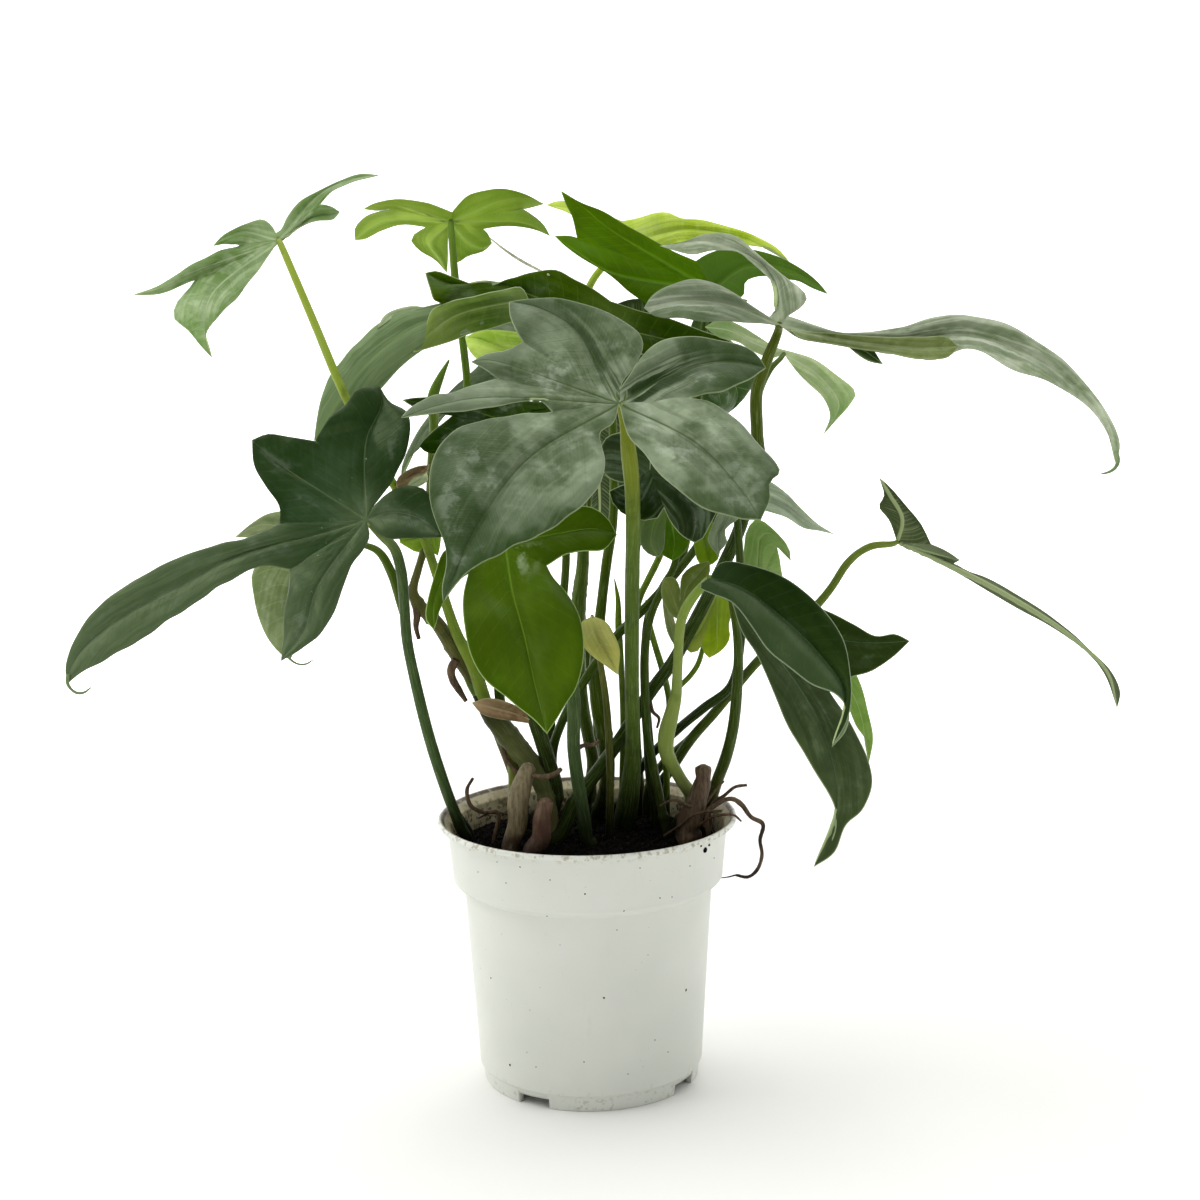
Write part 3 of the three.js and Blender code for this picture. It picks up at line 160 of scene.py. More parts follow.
class NodeSheet:  # writes the nodes of one material or one Geometry Nodes tree
    def __init__(self, tree):
        self.tree = tree
        tree.nodes.clear()

    def node(self, kind, settings=None, inputs=None):
        made = self.tree.nodes.new(kind)
        for key, value in (settings or {}).items():
            if key == "stops":
                for i, (place, code) in enumerate(value):
                    stops = made.color_ramp.elements
                    stop = stops[i] if i < 2 else stops.new(place)
                    stop.position = place
                    stop.color = colour(code)
            else:
                setattr(made, key, value)
        for key, value in (inputs or {}).items():
            self.feed(made.inputs[key], value)
        return made

    def feed(self, socket, value):
        if isinstance(value, Signal):
            self.tree.links.new(value.socket, socket)
        elif isinstance(value, str) and value.startswith("#"):
            socket.default_value = colour(value)
        else:
            socket.default_value = value

    def out(self, node, name=0):
        return Signal(self, node.outputs[name])

    def made(self, kind, settings=None, inputs=None, output=0):
        return self.out(self.node(kind, settings, inputs), output)

    def maths(self, operation, *values):
        kind = "ShaderNodeMath"
        return self.made(kind, {"operation": operation}, dict(enumerate(values)))

    def smooth(self, value, low, high):  # 0 up to low, 1 from high on
        settings = {"interpolation_type": "SMOOTHSTEP"}
        inputs = {"Value": value, "From Min": low, "From Max": high}
        return self.made("ShaderNodeMapRange", settings, inputs)

    def vector(self, x, y, z):
        return self.made("ShaderNodeCombineXYZ", None, {0: x, 1: y, 2: z})

    def split(self, value):
        made = self.node("ShaderNodeSeparateXYZ", None, {0: value})
        return [self.out(made, i) for i in range(3)]

    def attribute(self, name):
        return self.made("ShaderNodeAttribute", {"attribute_name": name}, output="Vector")

    def amount(self, name):
        return self.made("ShaderNodeAttribute", {"attribute_name": name}, output="Fac")

    def objectPlace(self):
        return self.made("ShaderNodeTexCoord", output="Object")

    def noise(self, place, scale, detail=3.0, roughness=0.55):
        inputs = {"Vector": place, "Scale": scale, "Detail": detail, "Roughness": roughness}
        return self.made("ShaderNodeTexNoise", None, inputs, output=0)

    def blend(self, share, first, second):  # colours
        made = self.node("ShaderNodeMix", {"data_type": "RGBA"}, {0: share, 6: first, 7: second})
        return self.out(made, 2)

    def bump(self, height, strength, depth):
        inputs = {"Height": height, "Strength": strength, "Distance": depth}
        return self.made("ShaderNodeBump", None, inputs)

    def surface(self, inputs):
        return self.made("ShaderNodeBsdfPrincipled", None, inputs)

    def show(self, shader):
        self.node("ShaderNodeOutputMaterial", None, {"Surface": shader})


def newFinish(name):
    made = bpy.data.materials.new(name)
    made.use_nodes = True
    return made, NodeSheet(made.node_tree)


def newObject(name, data):
    made = bpy.data.objects.new(name, data)
    bpy.context.scene.collection.objects.link(made)
    return made


def newPiece(name, points, faces, finishes):
    mesh = bpy.data.meshes.new(name)
    mesh.from_pydata([tuple(p) for p in points], [], [tuple(int(i) for i in f) for f in faces])
    mesh.shade_smooth()
    for finish in finishes:
        mesh.materials.append(finish)
    return newObject(name, mesh)


def settle(piece, slot, *nodes):  # every piece rides on the one body
    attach(piece, "root")
    if nodes:
        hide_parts(*nodes)


# Leaf blades. Lobes run in order round the join: "to" and "back" are the edges up to the tip and away from
# it, "gap" is the bay before the next lobe, a third number on a tip is how far it bends back in mm, and
# "fold" tilts the two halves.
leaves = [
    {"id": "01", "join": [279, 241, 20], "lean": [0.1, 0.8], "tone": "pale", "lobes": [
        {"to": "275,246 258,272 230,305 207,332 206,345", "tip": [212, 358, -14],
         "back": "200,345 188,330 174,318 174,306 183,295", "gap": [195, 280], "fold": -0.2},
        {"to": "180,286 160,294", "tip": [133, 295, -10], "back": "160,285 190,266 215,253",
         "gap": [240, 245], "fold": -0.2},
        {"to": "228,244", "tip": [213, 246, -6], "back": "222,236 245,224 262,219 271,225",
         "gap": [276, 233], "fold": -0.3},
        {"to": "281,230 287,217 300,201 320,190 341,180 360,174", "tip": [379, 175, 8],
         "back": "345,185 330,195", "gap": [320, 204], "fold": -0.2},
        {"to": "331,206", "tip": [340, 212, 6], "back": "334,219 318,221 300,227", "fold": -0.2}]},
    {"id": "02", "join": [451, 221, 52], "lean": [0.0, -0.9], "tone": "lime", "lobes": [
        {"to": "448,240 448,258", "tip": [447, 273, 8], "back": "436,261 420,250 411,238",
         "gap": [426, 227], "fold": 0.2},
        {"to": "400,225 380,232 365,239", "tip": [355, 240, 12], "back": "355,228 365,217 380,210",
         "gap": [392, 209], "fold": 0.2},
        {"to": "380,211", "tip": [363, 209, 8], "back": "375,203 400,199 425,203 440,208",
         "gap": [452, 212], "fold": 0.2},
        {"to": "458,204 466,197 482,191 505,189 525,194", "tip": [544, 204, 14], "back": "533,207",
         "gap": [521, 209], "fold": 0.2},
        {"to": "531,214 543,224", "tip": [550, 236, 10], "back": "535,230 510,226", "gap": [483, 229],
         "fold": 0.2},
        {"to": "488,234", "tip": [492, 243, 6], "back": "484,251 466,257 455,262 454,242",
         "fold": 0.2}]},
    {"id": "03", "join": [605, 326, 16], "lean": [0.0, 0.4], "tone": "dark", "lobes": [
        {"to": "585,340 540,332 507,323 465,334 440,341 420,352 400,368 380,390 345,425",
         "tip": [314, 441, 0],
         "back": "317,418 322,395 332,373 347,355 362,338 381,322 397,313 415,309", "gap": [440, 303],
         "rib": "550,306 470,314 420,325 370,360 335,405", "fold": 0.3},
        {"to": "434,300 429,287", "tip": [425, 273, 4],
         "back": "436,271 456,278 485,287 510,279 535,272 556,270 574,279 592,288", "gap": [611, 301],
         "fold": -0.2},
        {"to": "640,311 665,317 700,330 730,341", "tip": [764, 363, 6],
         "back": "730,372 680,366 635,350", "fold": -0.2}]},
    {"id": "04", "join": [619, 404, -62], "lean": [0.05, 0.75], "tone": "grey", "lobes": [
        {"to": "613,424 600,432 602,446 605,465 598,488 575,512 540,535 505,552 475,567 457,584",
         "tip": [443, 603, -12], "back": "442,588 446,566 445,548 436,520 429,492 432,462 444,440 "
         "465,425 500,418", "gap": [552, 411], "fold": -0.25},
        {"to": "540,401 520,402 495,407 460,411 425,415", "tip": [401, 418, -8],
         "back": "410,408 432,397 460,390 482,383", "gap": [498, 379], "fold": -0.2},
        {"to": "485,370", "tip": [471, 362, -4], "back": "487,354 510,350", "gap": [523, 342],
         "fold": -0.2},
        {"to": "516,331 510,316", "tip": [509, 302, 4],
         "back": "530,299 565,300 600,309 625,322 640,334 643,347 634,368 624,380", "gap": [620, 389],
         "fold": -0.25},
        {"to": "627,379 639,361 652,346 672,338 705,338 738,344 756,354", "tip": [766, 368, 6],
         "back": "750,379 722,391", "gap": [690, 398], "fold": -0.25},
        {"to": "712,403 738,420 757,442 776,463 780,473 770,483 770,498", "tip": [761, 520, -10],
         "back": "740,519 710,511 683,494 662,476 645,455 630,440", "fold": -0.2}]},
    {"id": "05", "join": [779, 325, -22], "lean": [0.05, 0.8], "tone": "grey", "lobes": [
        {"to": "765,324 720,321 680,319 655,316", "tip": [644, 308, -4],
         "back": "652,296 668,286 690,280 712,282 735,294 752,306", "gap": [769, 317], "fold": -0.3},
        {"to": "780,306 781,296 771,281 750,262 738,252 715,250 690,254", "tip": [660, 246, 10],
         "back": "680,243 700,236 717,233 737,237 757,254 780,273 800,288 807,298 801,308",
         "gap": [788, 316], "fold": -0.3},
        {"to": "815,325 843,333 875,331 905,326 935,317 965,315 1000,322 1032,338 1062,359 1085,383 "
         "1104,408 1116,430 1120,446", "tip": [1116, 464, -20], "back": "1113,448 1107,432 1093,412 "
         "1070,393 1035,377 1000,362 966,348 948,355 928,359 900,355 865,350 830,344 800,338",
         "rib": "840,338 900,342 960,334 1020,350 1070,382 1104,422", "fold": -0.5}]},
    {"id": "06", "join": [712, 288, 34], "lean": [0.0, -0.7], "tone": "deep", "lobes": [
        {"to": "690,300 648,304 635,296 610,275 580,257 564,245", "tip": [555, 236, 6],
         "back": "567,236", "gap": [577, 238], "fold": 0.2},
        {"to": "573,218 566,204", "tip": [561, 191, 12],
         "back": "582,203 605,212 628,226 650,239 672,250", "gap": [696, 262], "fold": 0.2},
        {"to": "715,251 745,248 775,256 800,268 818,282", "tip": [828, 294, 12],
         "back": "812,288 798,281 784,279 768,276 754,278 745,282 743,297", "fold": 0.2}]},
    {"id": "07", "join": [640, 240, 84], "lean": [0.0, 0.6], "tone": "lime", "lobes": [
        {"to": "615,236 590,228 568,213", "tip": [546, 205, 4], "back": "558,201 575,203 600,212",
         "gap": [622, 221], "fold": -0.1},
        {"to": "640,217 657,213 670,213 680,218 704,220 730,227 757,237 777,248", "tip": [789, 261, -6],
         "back": "775,249 752,246 728,242 702,240 688,241 683,247 664,248", "fold": -0.1}]},
    {"id": "08", "join": [784, 354, 8], "lean": [0.0, -0.3], "tone": "pale", "lobes": [
        {"to": "772,358 755,352 738,342 720,338", "tip": [705, 327, 2],
         "back": "720,319 738,324 758,336 775,347", "gap": [785, 350], "fold": 0.2},
        {"to": "797,353 814,359 834,373 856,393 850,404 838,418", "tip": [823, 435, -8],
         "back": "830,416 824,399 808,383 794,368", "fold": 0.2}]},
    {"id": "09", "join": [366, 520, -40], "lean": [-0.15, 0.4], "tone": "dark", "lobes": [
        {"to": "370,536 362,551 350,570 338,600 326,628 300,650", "tip": [281, 661, -10],
         "back": "283,640 285,610 289,588", "gap": [290, 569], "fold": -0.2},
        {"to": "262,566 225,584 205,597 170,620 140,640 105,660 82,672", "tip": [67, 684, -14],
         "back": "65.5,668 70,650 80,630 95,610 118,591 146,574 180,557 220,544 252,536",
         "gap": [280, 524], "rib": "325,533 280,543 230,558 180,585 125,615 88,644 72,666",
         "fold": -0.3},
        {"to": "279,506 266,487 254,465", "tip": [252, 440, -2], "back": "268,434 290,437",
         "gap": [315, 441], "fold": -0.2},
        {"to": "330,417 346,405 353,393 364,387", "tip": [380, 387, 4],
         "back": "390,402 406,411 411,428 405,455 394,477 382,495", "gap": [372, 508], "fold": -0.2},
        {"to": "384,496 396,488 412,486 427,491 435,512", "tip": [442, 537, -8],
         "back": "425,538 405,538 385,538", "fold": -0.2}]},
    {"id": "10", "join": [352, 540, 2], "lean": [-0.1, 0.3], "tone": "pale", "lobes": [
        {"to": "345,562 330,592 315,622 300,643", "tip": [290, 660, -4],
         "back": "283,656 270,642 261,624 254,598 252,572", "gap": [266, 552], "fold": -0.15},
        {"to": "262,540", "tip": [235, 537, -4], "back": "252,523 270,513 300,512 335,525",
         "fold": -0.15}]},
    {"id": "11", "join": [505, 545, -38], "lean": [0.1, 0.55], "tone": "deep", "lobes": [
        {"to": "530,520 560,508 590,507 607,518", "tip": [617, 535, 0],
         "back": "603,550 580,552 562,557", "gap": [547, 565], "fold": -0.2},
        {"to": "553,577 568,594 580,618 584,645 577,686 562,711", "tip": [547, 734, -10],
         "back": "533,719 510,701 487,681 471,655 464,625 463,597", "gap": [468, 574],
         "rib": "512,590 524,635 535,685", "fold": -0.25},
        {"to": "455,584 443,602", "tip": [434, 630, -10],
         "back": "426,620 428,598 436,570 445,550 475,540", "fold": -0.2}]},
    {"id": "12", "join": [710, 578, -58], "lean": [-0.1, 0.7], "tone": "dark", "lobes": [
        {"to": "699,586 712,594 732,603 752,628 775,657 808,680 838,697 849,712 846,730",
         "tip": [832, 747, -10],
         "back": "844,728 851,705 851,675 842,637 818,604 780,575 745,564 720,563",
         "rib": "745,590 785,620 820,655 845,695", "fold": -0.3}]},
    {"id": "13", "join": [728, 592, -34], "lean": [-0.05, 0.45], "tone": "dark", "lobes": [
        {"to": "733,606 742,632 757,656 775,697 792,733 820,780 836,813 834,837",
         "tip": [814, 867, -10], "back": "834,853 846,825 862,810 872,785 868,760 854,730",
         "gap": [829, 690], "fold": -0.2},
        {"to": "850,678 872,671 893,657", "tip": [910, 641, -8],
         "back": "895,634 876,636 855,625 830,612 790,597 755,587", "fold": -0.2}]},
    {"id": "14", "join": [897, 542, 12], "lean": [0.0, -0.5], "tone": "pale", "lobes": [
        {"to": "889,520 879,506 884,496", "tip": [879, 477, 10], "back": "892,489 907,507 922,525",
         "gap": [931, 544], "fold": 0.2},
        {"to": "945,550", "tip": [960, 560, 4], "back": "952,564", "gap": [943, 561], "fold": 0.2},
        {"to": "975,574 1010,590 1048,615 1085,645 1110,670 1120,692", "tip": [1117, 708, -16],
         "back": "1105,675 1085,650 1050,626 1010,604 970,580 930,558",
         "rib": "950,566 1010,597 1070,636 1107,672", "fold": 0.5}]},
    {"id": "15", "join": [650, 470, -28], "lean": [0.0, 0.15], "tone": "dark", "lobes": [
        {"to": "649,437 640,434 622,432 606,438", "tip": [598, 458, 2], "back": "606,475 618,482",
         "gap": [632, 483], "fold": -0.1},
        {"to": "622,485", "tip": [609, 491, -3], "back": "614,505 627,516 642,520 657,519",
         "gap": [664, 508], "fold": -0.2},
        {"to": "671,523 682,536", "tip": [695, 543, -6],
         "back": "704,537 710,524 717,510 713,488 701,466 686,448 668,434 655,431", "fold": -0.2}]},
    {"id": "16", "join": [735, 485, -36], "lean": [0.0, 0.2], "tone": "grey", "lobes": [
        {"to": "727,500 718,512 711,528 708,541", "tip": [719, 557, 20],
         "back": "721,549 727,544 725,530 740,518", "gap": [756, 508], "fold": -0.1},
        {"to": "785,517 803,528 820,531", "tip": [836, 535, -4],
         "back": "818,524 803,510 785,492 765,480", "fold": -0.2}]},
    {"id": "17", "join": [668, 500, -14], "lean": [0.0, 0.2], "tone": "deep", "lobes": [
        {"to": "642,512 638,528 641,546 650,555", "tip": [659, 557, -6], "back": "664,548",
         "gap": [665, 530], "fold": -0.2},
        {"to": "660,540 661,553", "tip": [673, 561, -2], "back": "681,556 688,547", "gap": [692, 532],
         "fold": -0.2},
        {"to": "695,552 698,562", "tip": [708, 566, 2], "back": "717,561 720,550 714,525 700,508",
         "fold": -0.2}]},
    {"id": "18", "join": [718, 592, 10], "lean": [0.1, 0.1], "tone": "lime", "lobes": [
        {"to": "706,602 695,620 687,636", "tip": [685, 648, 2], "back": "691,653 698,651",
         "gap": [702, 645], "fold": -0.2},
        {"to": "703,651", "tip": [709, 658, -4],
         "back": "717,654 725,647 730,637 729,625 732,612 731,601", "fold": -0.3}]},
    {"id": "19", "join": [592, 616, -14], "lean": [0.1, 0.2], "tone": "lime", "lobes": [
        {"to": "606,622 614,635 620,650", "tip": [618, 675, -4],
         "back": "603,664 589,652 581,638 580,624", "fold": -0.4}]},
    {"id": "20", "join": [560, 352, -20], "lean": [0.0, 0.2], "tone": "lime", "lobes": [
        {"to": "545,368 520,375", "tip": [498, 367, 0], "back": "492,363", "gap": [490, 361],
         "fold": -0.2},
        {"to": "478,359 469,350", "tip": [465, 337, 2], "back": "480,331 500,330 520,333 545,340",
         "fold": -0.2}]},
    {"id": "21", "join": [530, 428, -32], "lean": [0.0, 0.25], "tone": "deep", "lobes": [
        {"to": "505,450 475,460 450,457", "tip": [431, 454, -4], "back": "419,447 430,434 442,424",
         "gap": [452, 416], "fold": -0.2},
        {"to": "430,412 415,408", "tip": [402, 400, 0], "back": "412,398 430,397 460,396",
         "gap": [486, 400], "fold": -0.2},
        {"to": "505,400", "tip": [553, 403, -2], "back": "560,416 548,424", "fold": -0.1}]},
    {"id": "22", "join": [690, 350, 60], "lean": [0.15, -0.6], "tone": "deep", "lobes": [
        {"to": "680,380 668,420 672,460", "tip": [690, 498, 20], "back": "706,470 714,440",
         "gap": [716, 408], "fold": 0.2},
        {"to": "721,409", "tip": [728, 413, 10], "back": "740,403 750,390 755,376 742,350",
         "gap": [722, 335], "fold": 0.2},
        {"to": "726,322 738,312", "tip": [748, 300, 20], "back": "725,296 700,308 690,330",
         "fold": 0.2}]},
    {"id": "23", "join": [540, 330, 66], "lean": [0.3, 0.35], "tone": "grey", "lobes": [
        {"to": "545,362 510,392 470,402 447,414 434,430 420,448 408,459", "tip": [401, 479, -10],
         "back": "402,466 411,444 424,422 445,396 478,366", "gap": [502, 342], "fold": 0.1},
        {"to": "480,328 462,316", "tip": [452, 303, 34], "back": "478,292 508,300", "gap": [524, 314],
         "fold": 0.2},
        {"to": "532,302", "tip": [556, 290, 40], "back": "574,306 564,326", "fold": 0.2}]},
    {"id": "24", "join": [600, 380, 84], "lean": [0.1, -0.8], "tone": "dark", "lobes": [
        {"to": "620,410 632,460 622,500", "tip": [598, 545, 24], "back": "575,505 565,455",
         "gap": [572, 410], "fold": 0.2},
        {"to": "578,402 560,388", "tip": [547, 358, 12], "back": "560,338 578,334", "gap": [596, 345],
         "fold": 0.2},
        {"to": "600,320 625,300", "tip": [655, 300, 14], "back": "668,330 655,365 630,385",
         "fold": 0.2}]},
    {"id": "25", "join": [756, 590, 8], "lean": [0.1, 0.1], "tone": "lime", "lobes": [
        {"to": "744,570 744,548 747,530 757,518 768,525 780,536 789,548", "tip": [791, 561, -2],
         "back": "786,556 781,551", "gap": [777, 547], "rib": "758,560 761,536 772,533 784,545",
         "fold": 0.1},
        {"to": "779,555 780,566", "tip": [783, 580, 2], "back": "780,588", "gap": [774, 592],
         "fold": 0.1},
        {"to": "788,596 820,628 848,660 861,685 868,712 873,738", "tip": [869, 762, -2],
         "back": "867,742 856,726 846,700 836,680 806,648 776,618", "fold": -0.1}]},
    {"id": "26", "join": [681, 620, -30], "lean": [0.1, -0.25], "tone": "lime", "lobes": [
        {"to": "674,617 664,604 661,590", "tip": [664, 578, 2], "back": "673,577 679,585",
         "gap": [680, 600], "fold": 0.2},
        {"to": "680,590 682,576 692,566", "tip": [709, 561, 4],
         "back": "710,571 704,583 694,594 686,608", "fold": 0.2}]},
]

# Stalks: the foot is [x, y, radius] in mm on the soil, and a mark of the path is a landmark and the radius.
stalks = [
    {"id": "petiole_01", "foot": [-30, 10, 3.0], "path": "513,756,7,2.9 498,728,7,2.9 486,704,7,2.8 "
     "474,668,6,2.6 456,632,4,2.2 440,585,2,1.9 420,530,-2,1.8 385,470,-6,1.7 347,400,-8,1.7 "
     "313,320,4,1.6 281,245,16,1.3"},
    {"id": "petiole_02", "foot": [-26, 22, 2.4], "path": "519,775,20,2.2 506,735,19,2.2 499,690,17,2.1 "
     "498,650,16,2 490,560,16,1.8 476,470,22,1.7 469,405,30,1.6 466,370,35,1.6 462,335,38,1.6 "
     "455,277,43,1.6 451,226,48.5,1.3"},
    {"id": "petiole_03", "foot": [4, 31, 3.0], "path": "607,782,22,3 605,738,18,3.3 598,705,14,3.1 "
     "596,665,12,2.8 602,600,12,2.1 607,560,14,2.1 613,520,16,1.9 613,430,22,1.7 606,335,16,1.5"},
    {"id": "petiole_04", "foot": [15, 17, 4.6],
     "path": "629,795,13,4.3 633,755,7,3.3 632,690,-6,2.9 632,600,-24,2.9 633,520,-40,2.8 "
     "632,485,-46,2.9 629,455,-52,3 624,420,-56,1.8"},
    {"id": "petiole_05", "foot": [-15, -3, 3.2], "path": "560,836,-1,3.2 574,803,5,3 591,780,9,2.8 "
     "619,741,12,2.7 649,694,9,2.6 674,660,6,2.6 690,630,2,2.6 706,600,-2,2.6 735,540,-8,2.6 "
     "746,510,-11,2.5 759,470,-14,2.5 757,430,-17,2.4 757,390,-19,2.4 767,360,-19,2.2 778,332,-16,1.7"},
    {"id": "petiole_06", "foot": [28, 19, 2.5], "path": "656,812,19,2.2 651,775,19,2.4 648,735,20,2.1 "
     "645,690,19,1.9 645,650,16,1.8 650,612,15,1.8 664,585,15,1.7 684,550,18,1.7 692,460,24,1.7 "
     "700,380,29,1.6 708,297,30,1.3"},
    {"id": "petiole_07", "foot": [-2, 35, 2.6], "path": "593,765,34,2.6 588,735,34,2.6 582,700,35,2.7 "
     "578,650,38,3 579,600,42,3.1 583,560,46,2.6 580,450,56,1.8 576,350,65,1.7 588,290,72,1.6 "
     "604,266,77,1.5 634,244,81,1.2"},
    {"id": "petiole_08", "foot": [-13, 16, 2.2], "path": "553,785,18,2 553,750,13,1.9 562,722,8,1.8 "
     "575,697,4,1.8 600,657,1,1.8 622,630,-3,1.8 642,611,-2,1.8 665,586,0,1.7 690,556,2,1.7 "
     "722,510,1,1.6 750,472,-2,1.5 758,430,-5,1.4 759,395,-6,1.3 770,370,-2,1.2 781,358,4,1"},
    {"id": "petiole_09", "foot": [-49, 5.5, 2.4], "path": "461,828,4,2.4 455,813,2,2.3 448,795,0,2.3 "
     "430,740,-7,2.3 415,680,-14,2.2 407,640,-19,2.1 404,600,-24,2.1 401,570,-30,2.1 394,548,-33,2 "
     "381,535,-36,1.7 370,524,-35.5,1.3"},
    {"id": "petiole_10", "foot": [-48.2, 13.2, 1.6],
     "path": "451,803,11,1.3 429,740,4,1.3 413,680,1,1.3 407,630,0,1.5 400,600,2,1.9 391,572,3,1.9 "
     "378,551,5,1.6 357,543,7,1"},
    {"id": "petiole_11", "foot": [1, -4, 3.0],
     "path": "588,842,-4,2.9 583,812,-6,2.7 574,751,-13,2.6 573,690,-20,2.6 560,640,-24,2.2 "
     "530,590,-28,2 509,550,-34,1.5"},
    {"id": "petiole_12", "foot": [37, 13, 3.4], "path": "693,802,9,3 680,778,3,2.5 667,754,-3,3 "
     "666,738,-5,3.3 671,716,-9,3 676,696,-13,2.3 677,680,-18,2 678,660,-23,1.9 679,638,-30,1.9 "
     "682,618,-37,1.9 691,600,-45,1.9 706,582,-53,1.5"},
    {"id": "petiole_13", "foot": [45, 19, 2.5],
     "path": "711,798,16,2.5 717,781,12,2.4 726,757,7,2.4 733,728,0,2.3 737,690,-8,2.2 "
     "738,645,-17,1.8 731,598,-28,1.3"},
    {"id": "petiole_14", "foot": [31, 36, 2.2], "path": "658,790,34,2.1 672,768,26,2.1 692,738,18,2.1 "
     "715,712,12,2 757,662,4,1.9 795,625,0,1.8 816,606,-1,1.7 831,588,0,1.6 846,565,1,1.6 "
     "857,554,2,1.5 872,546,4,1.5 892,544,7,1.2"},
    {"id": "petiole_15", "foot": [18, 31, 1.9],
     "path": "631,785,27,1.8 634,730,22,1.7 634,650,9,1.6 634,580,0,1.5 636,520,-12,1.5 "
     "646,479,-22,1.2"},
    {"id": "petiole_16", "foot": [10, 43, 2.2],
     "path": "622,800,40,2 645,762,32,1.9 677,730,22,1.9 705,707,8,1.9 730,687,4,1.8 741,640,-4,1.7 "
     "740,560,-22,1.6 735,491,-31,1.2"},
    {"id": "petiole_17", "foot": [32, 5, 1.9], "path": "660,800,8,1.8 652,760,8,1.8 647,735,4,1.7 "
     "645,690,0,1.7 645,650,-4,1.6 651,615,-6,1.6 663,588,-8,1.5 674,566,-10,1.4 678,540,-11,1.3 "
     "670,508,-10,1"},
    {"id": "petiole_18", "foot": [28, 26, 1.4], "path": "666,790,22,1.4 665,750,16,1.3 667,715,14,1.2 "
     "675,692,11,1.1 690,676,9,1.1 698,664,10,1.1 703,648,12,1 712,620,14,0.9 717,598,14,0.8"},
    {"id": "petiole_19", "foot": [9, 6, 1.7],
     "path": "610,785,4,1.6 609,740,-1,1.5 606,700,-4,1.4 600,660,-9,1.2 594,622,-11,0.9"},
    {"id": "petiole_20", "foot": [-14, 30, 2.1],
     "path": "549,800,30,2 550,750,26,1.9 553,690,16,1.8 562,610,5,1.7 566,560,-3,1.6 565,500,-10,1.5 "
     "562,450,-13,1.5 561,358,-16,1.1"},
    {"id": "petiole_21", "foot": [-18, 7, 3.0],
     "path": "556,795,6,3 549,764,3,3.1 541,738,0,3 533,715,-3,2.7 522,660,-10,2 526,560,-20,1.7 "
     "529,435,-28,1.2"},
    {"id": "petiole_22", "foot": [22, 44, 2.0],
     "path": "640,790,44,1.9 635,720,42,1.8 632,650,42,1.7 633,580,43,1.6 642,520,45,1.6 "
     "662,460,50,1.5 684,400,55,1.4 690,356,57,1.1"},
    {"id": "petiole_23", "foot": [-18, 42, 2.0],
     "path": "548,790,44,1.9 546,700,50,1.8 540,600,60,1.7 534,480,70,1.6 536,400,74,1.5 539,338,70,1"},
    {"id": "petiole_24", "foot": [3, 47, 2.0],
     "path": "592,790,50,1.9 597,720,56,1.8 588,660,61,1.7 581,600,66,1.7 586,520,74,1.6 "
     "597,440,79,1.4 600,386,80,1.1"},
    {"id": "petiole_25", "foot": [25, 37, 1.8],
     "path": "648,788,39,1.7 664,762,37,1.7 690,738,31,1.6 716,711,25,1.6 752,668,18,1.5 "
     "766,645,14,1.4 766,615,13,1.2 754,596,12,1"},
    {"id": "shoot", "foot": [-31, 28, 2.4], "path": "516,785,27,2.4 502,742,24,2.4 486,702,19,2.6 "
     "470,674,15,3.1 458,655,11,3.4 446,636,8,3.1 436,622,6,2.8 420,606,4,2.7 413,592,3,2 "
     "418,570,4,1.6 425,545,7,1.6 429,510,8,1.6 431,465,5,1.6 434,425,-2,1.8 433,397,-5,2.2 "
     "440,378,-5,1.5 449,360,-5,0.4"},
    {"id": "stub_left", "foot": [-31, -10, 3.6], "tone": "dry",
     "path": "518,822,-10,3.9 518,803,-9,4.3 523,782,-8,3.8 530,765,-7,2.5"},
    {"id": "stub_middle", "foot": [-22, -15, 4.0], "tone": "dry",
     "path": "541,838,-15,3.8 542,818,-15,3.5 547,800,-15,2.6"},
    {"id": "stub_right", "foot": [41, -3, 5.2], "tone": "dry",
     "path": "688,828,-3,5 697,800,-3,4 703,780,-3,3.3 703,766,-3,3"},
    {"id": "root_left", "foot": [-38, 0, 0.9], "tone": "root",
     "path": "498,813,0,0.9 483,812,0,0.9 471,806,0,0.9 467,790,0,0.8 473,778,0,0.6"},
    {"id": "root_hanging", "foot": [49, -6, 1.0], "tone": "root", "path": "707,812,-6,1 716,805,-5,1 "
     "724,800,-4,1 733,799,-3,1 742,805,-2,1 751,817,-2,0.9 763,824,-2,0.9 760,840,-2,0.8 "
     "762,855,-2,0.8 757,870,-2,0.8 748,877,-2,0.7 736,875,-2,0.6"},
    {"id": "root_right", "foot": [49, 7, 0.8], "tone": "root",
     "path": "712,805,7,0.8 725,795,7,0.7 735,787,7,0.7 747,785,7,0.6"},
]


leafMake = {
    "rowStep": 1.7,  # mm between rows along a rib
    "fewestRows": 14,
    "mostRows": 110,
    # shares of the way from rib to margin
    "columns": [0, 0.025, 0.07, 0.14, 0.24, 0.36, 0.49, 0.62, 0.75, 0.87, 0.95, 1],
    "thick": 0.55,  # mm
    "marginThick": 0.3,
    "pillow": 0.085,  # swell between rib and margin, as a share of the width
    "veinSpacing": 6.0,
    "fineSpacing": 1.5,
    "veinSlope": 0.85,
    "veinHeight": 0.16,
    "marginWave": 0.3,
    "groove": 0.3,
    "grooveWidth": 0.9,
    "swell": 0.55,  # mm of slow unevenness over the whole blade
    "ribHeight": 0.75,
    "ribWidth": 0.8,
}


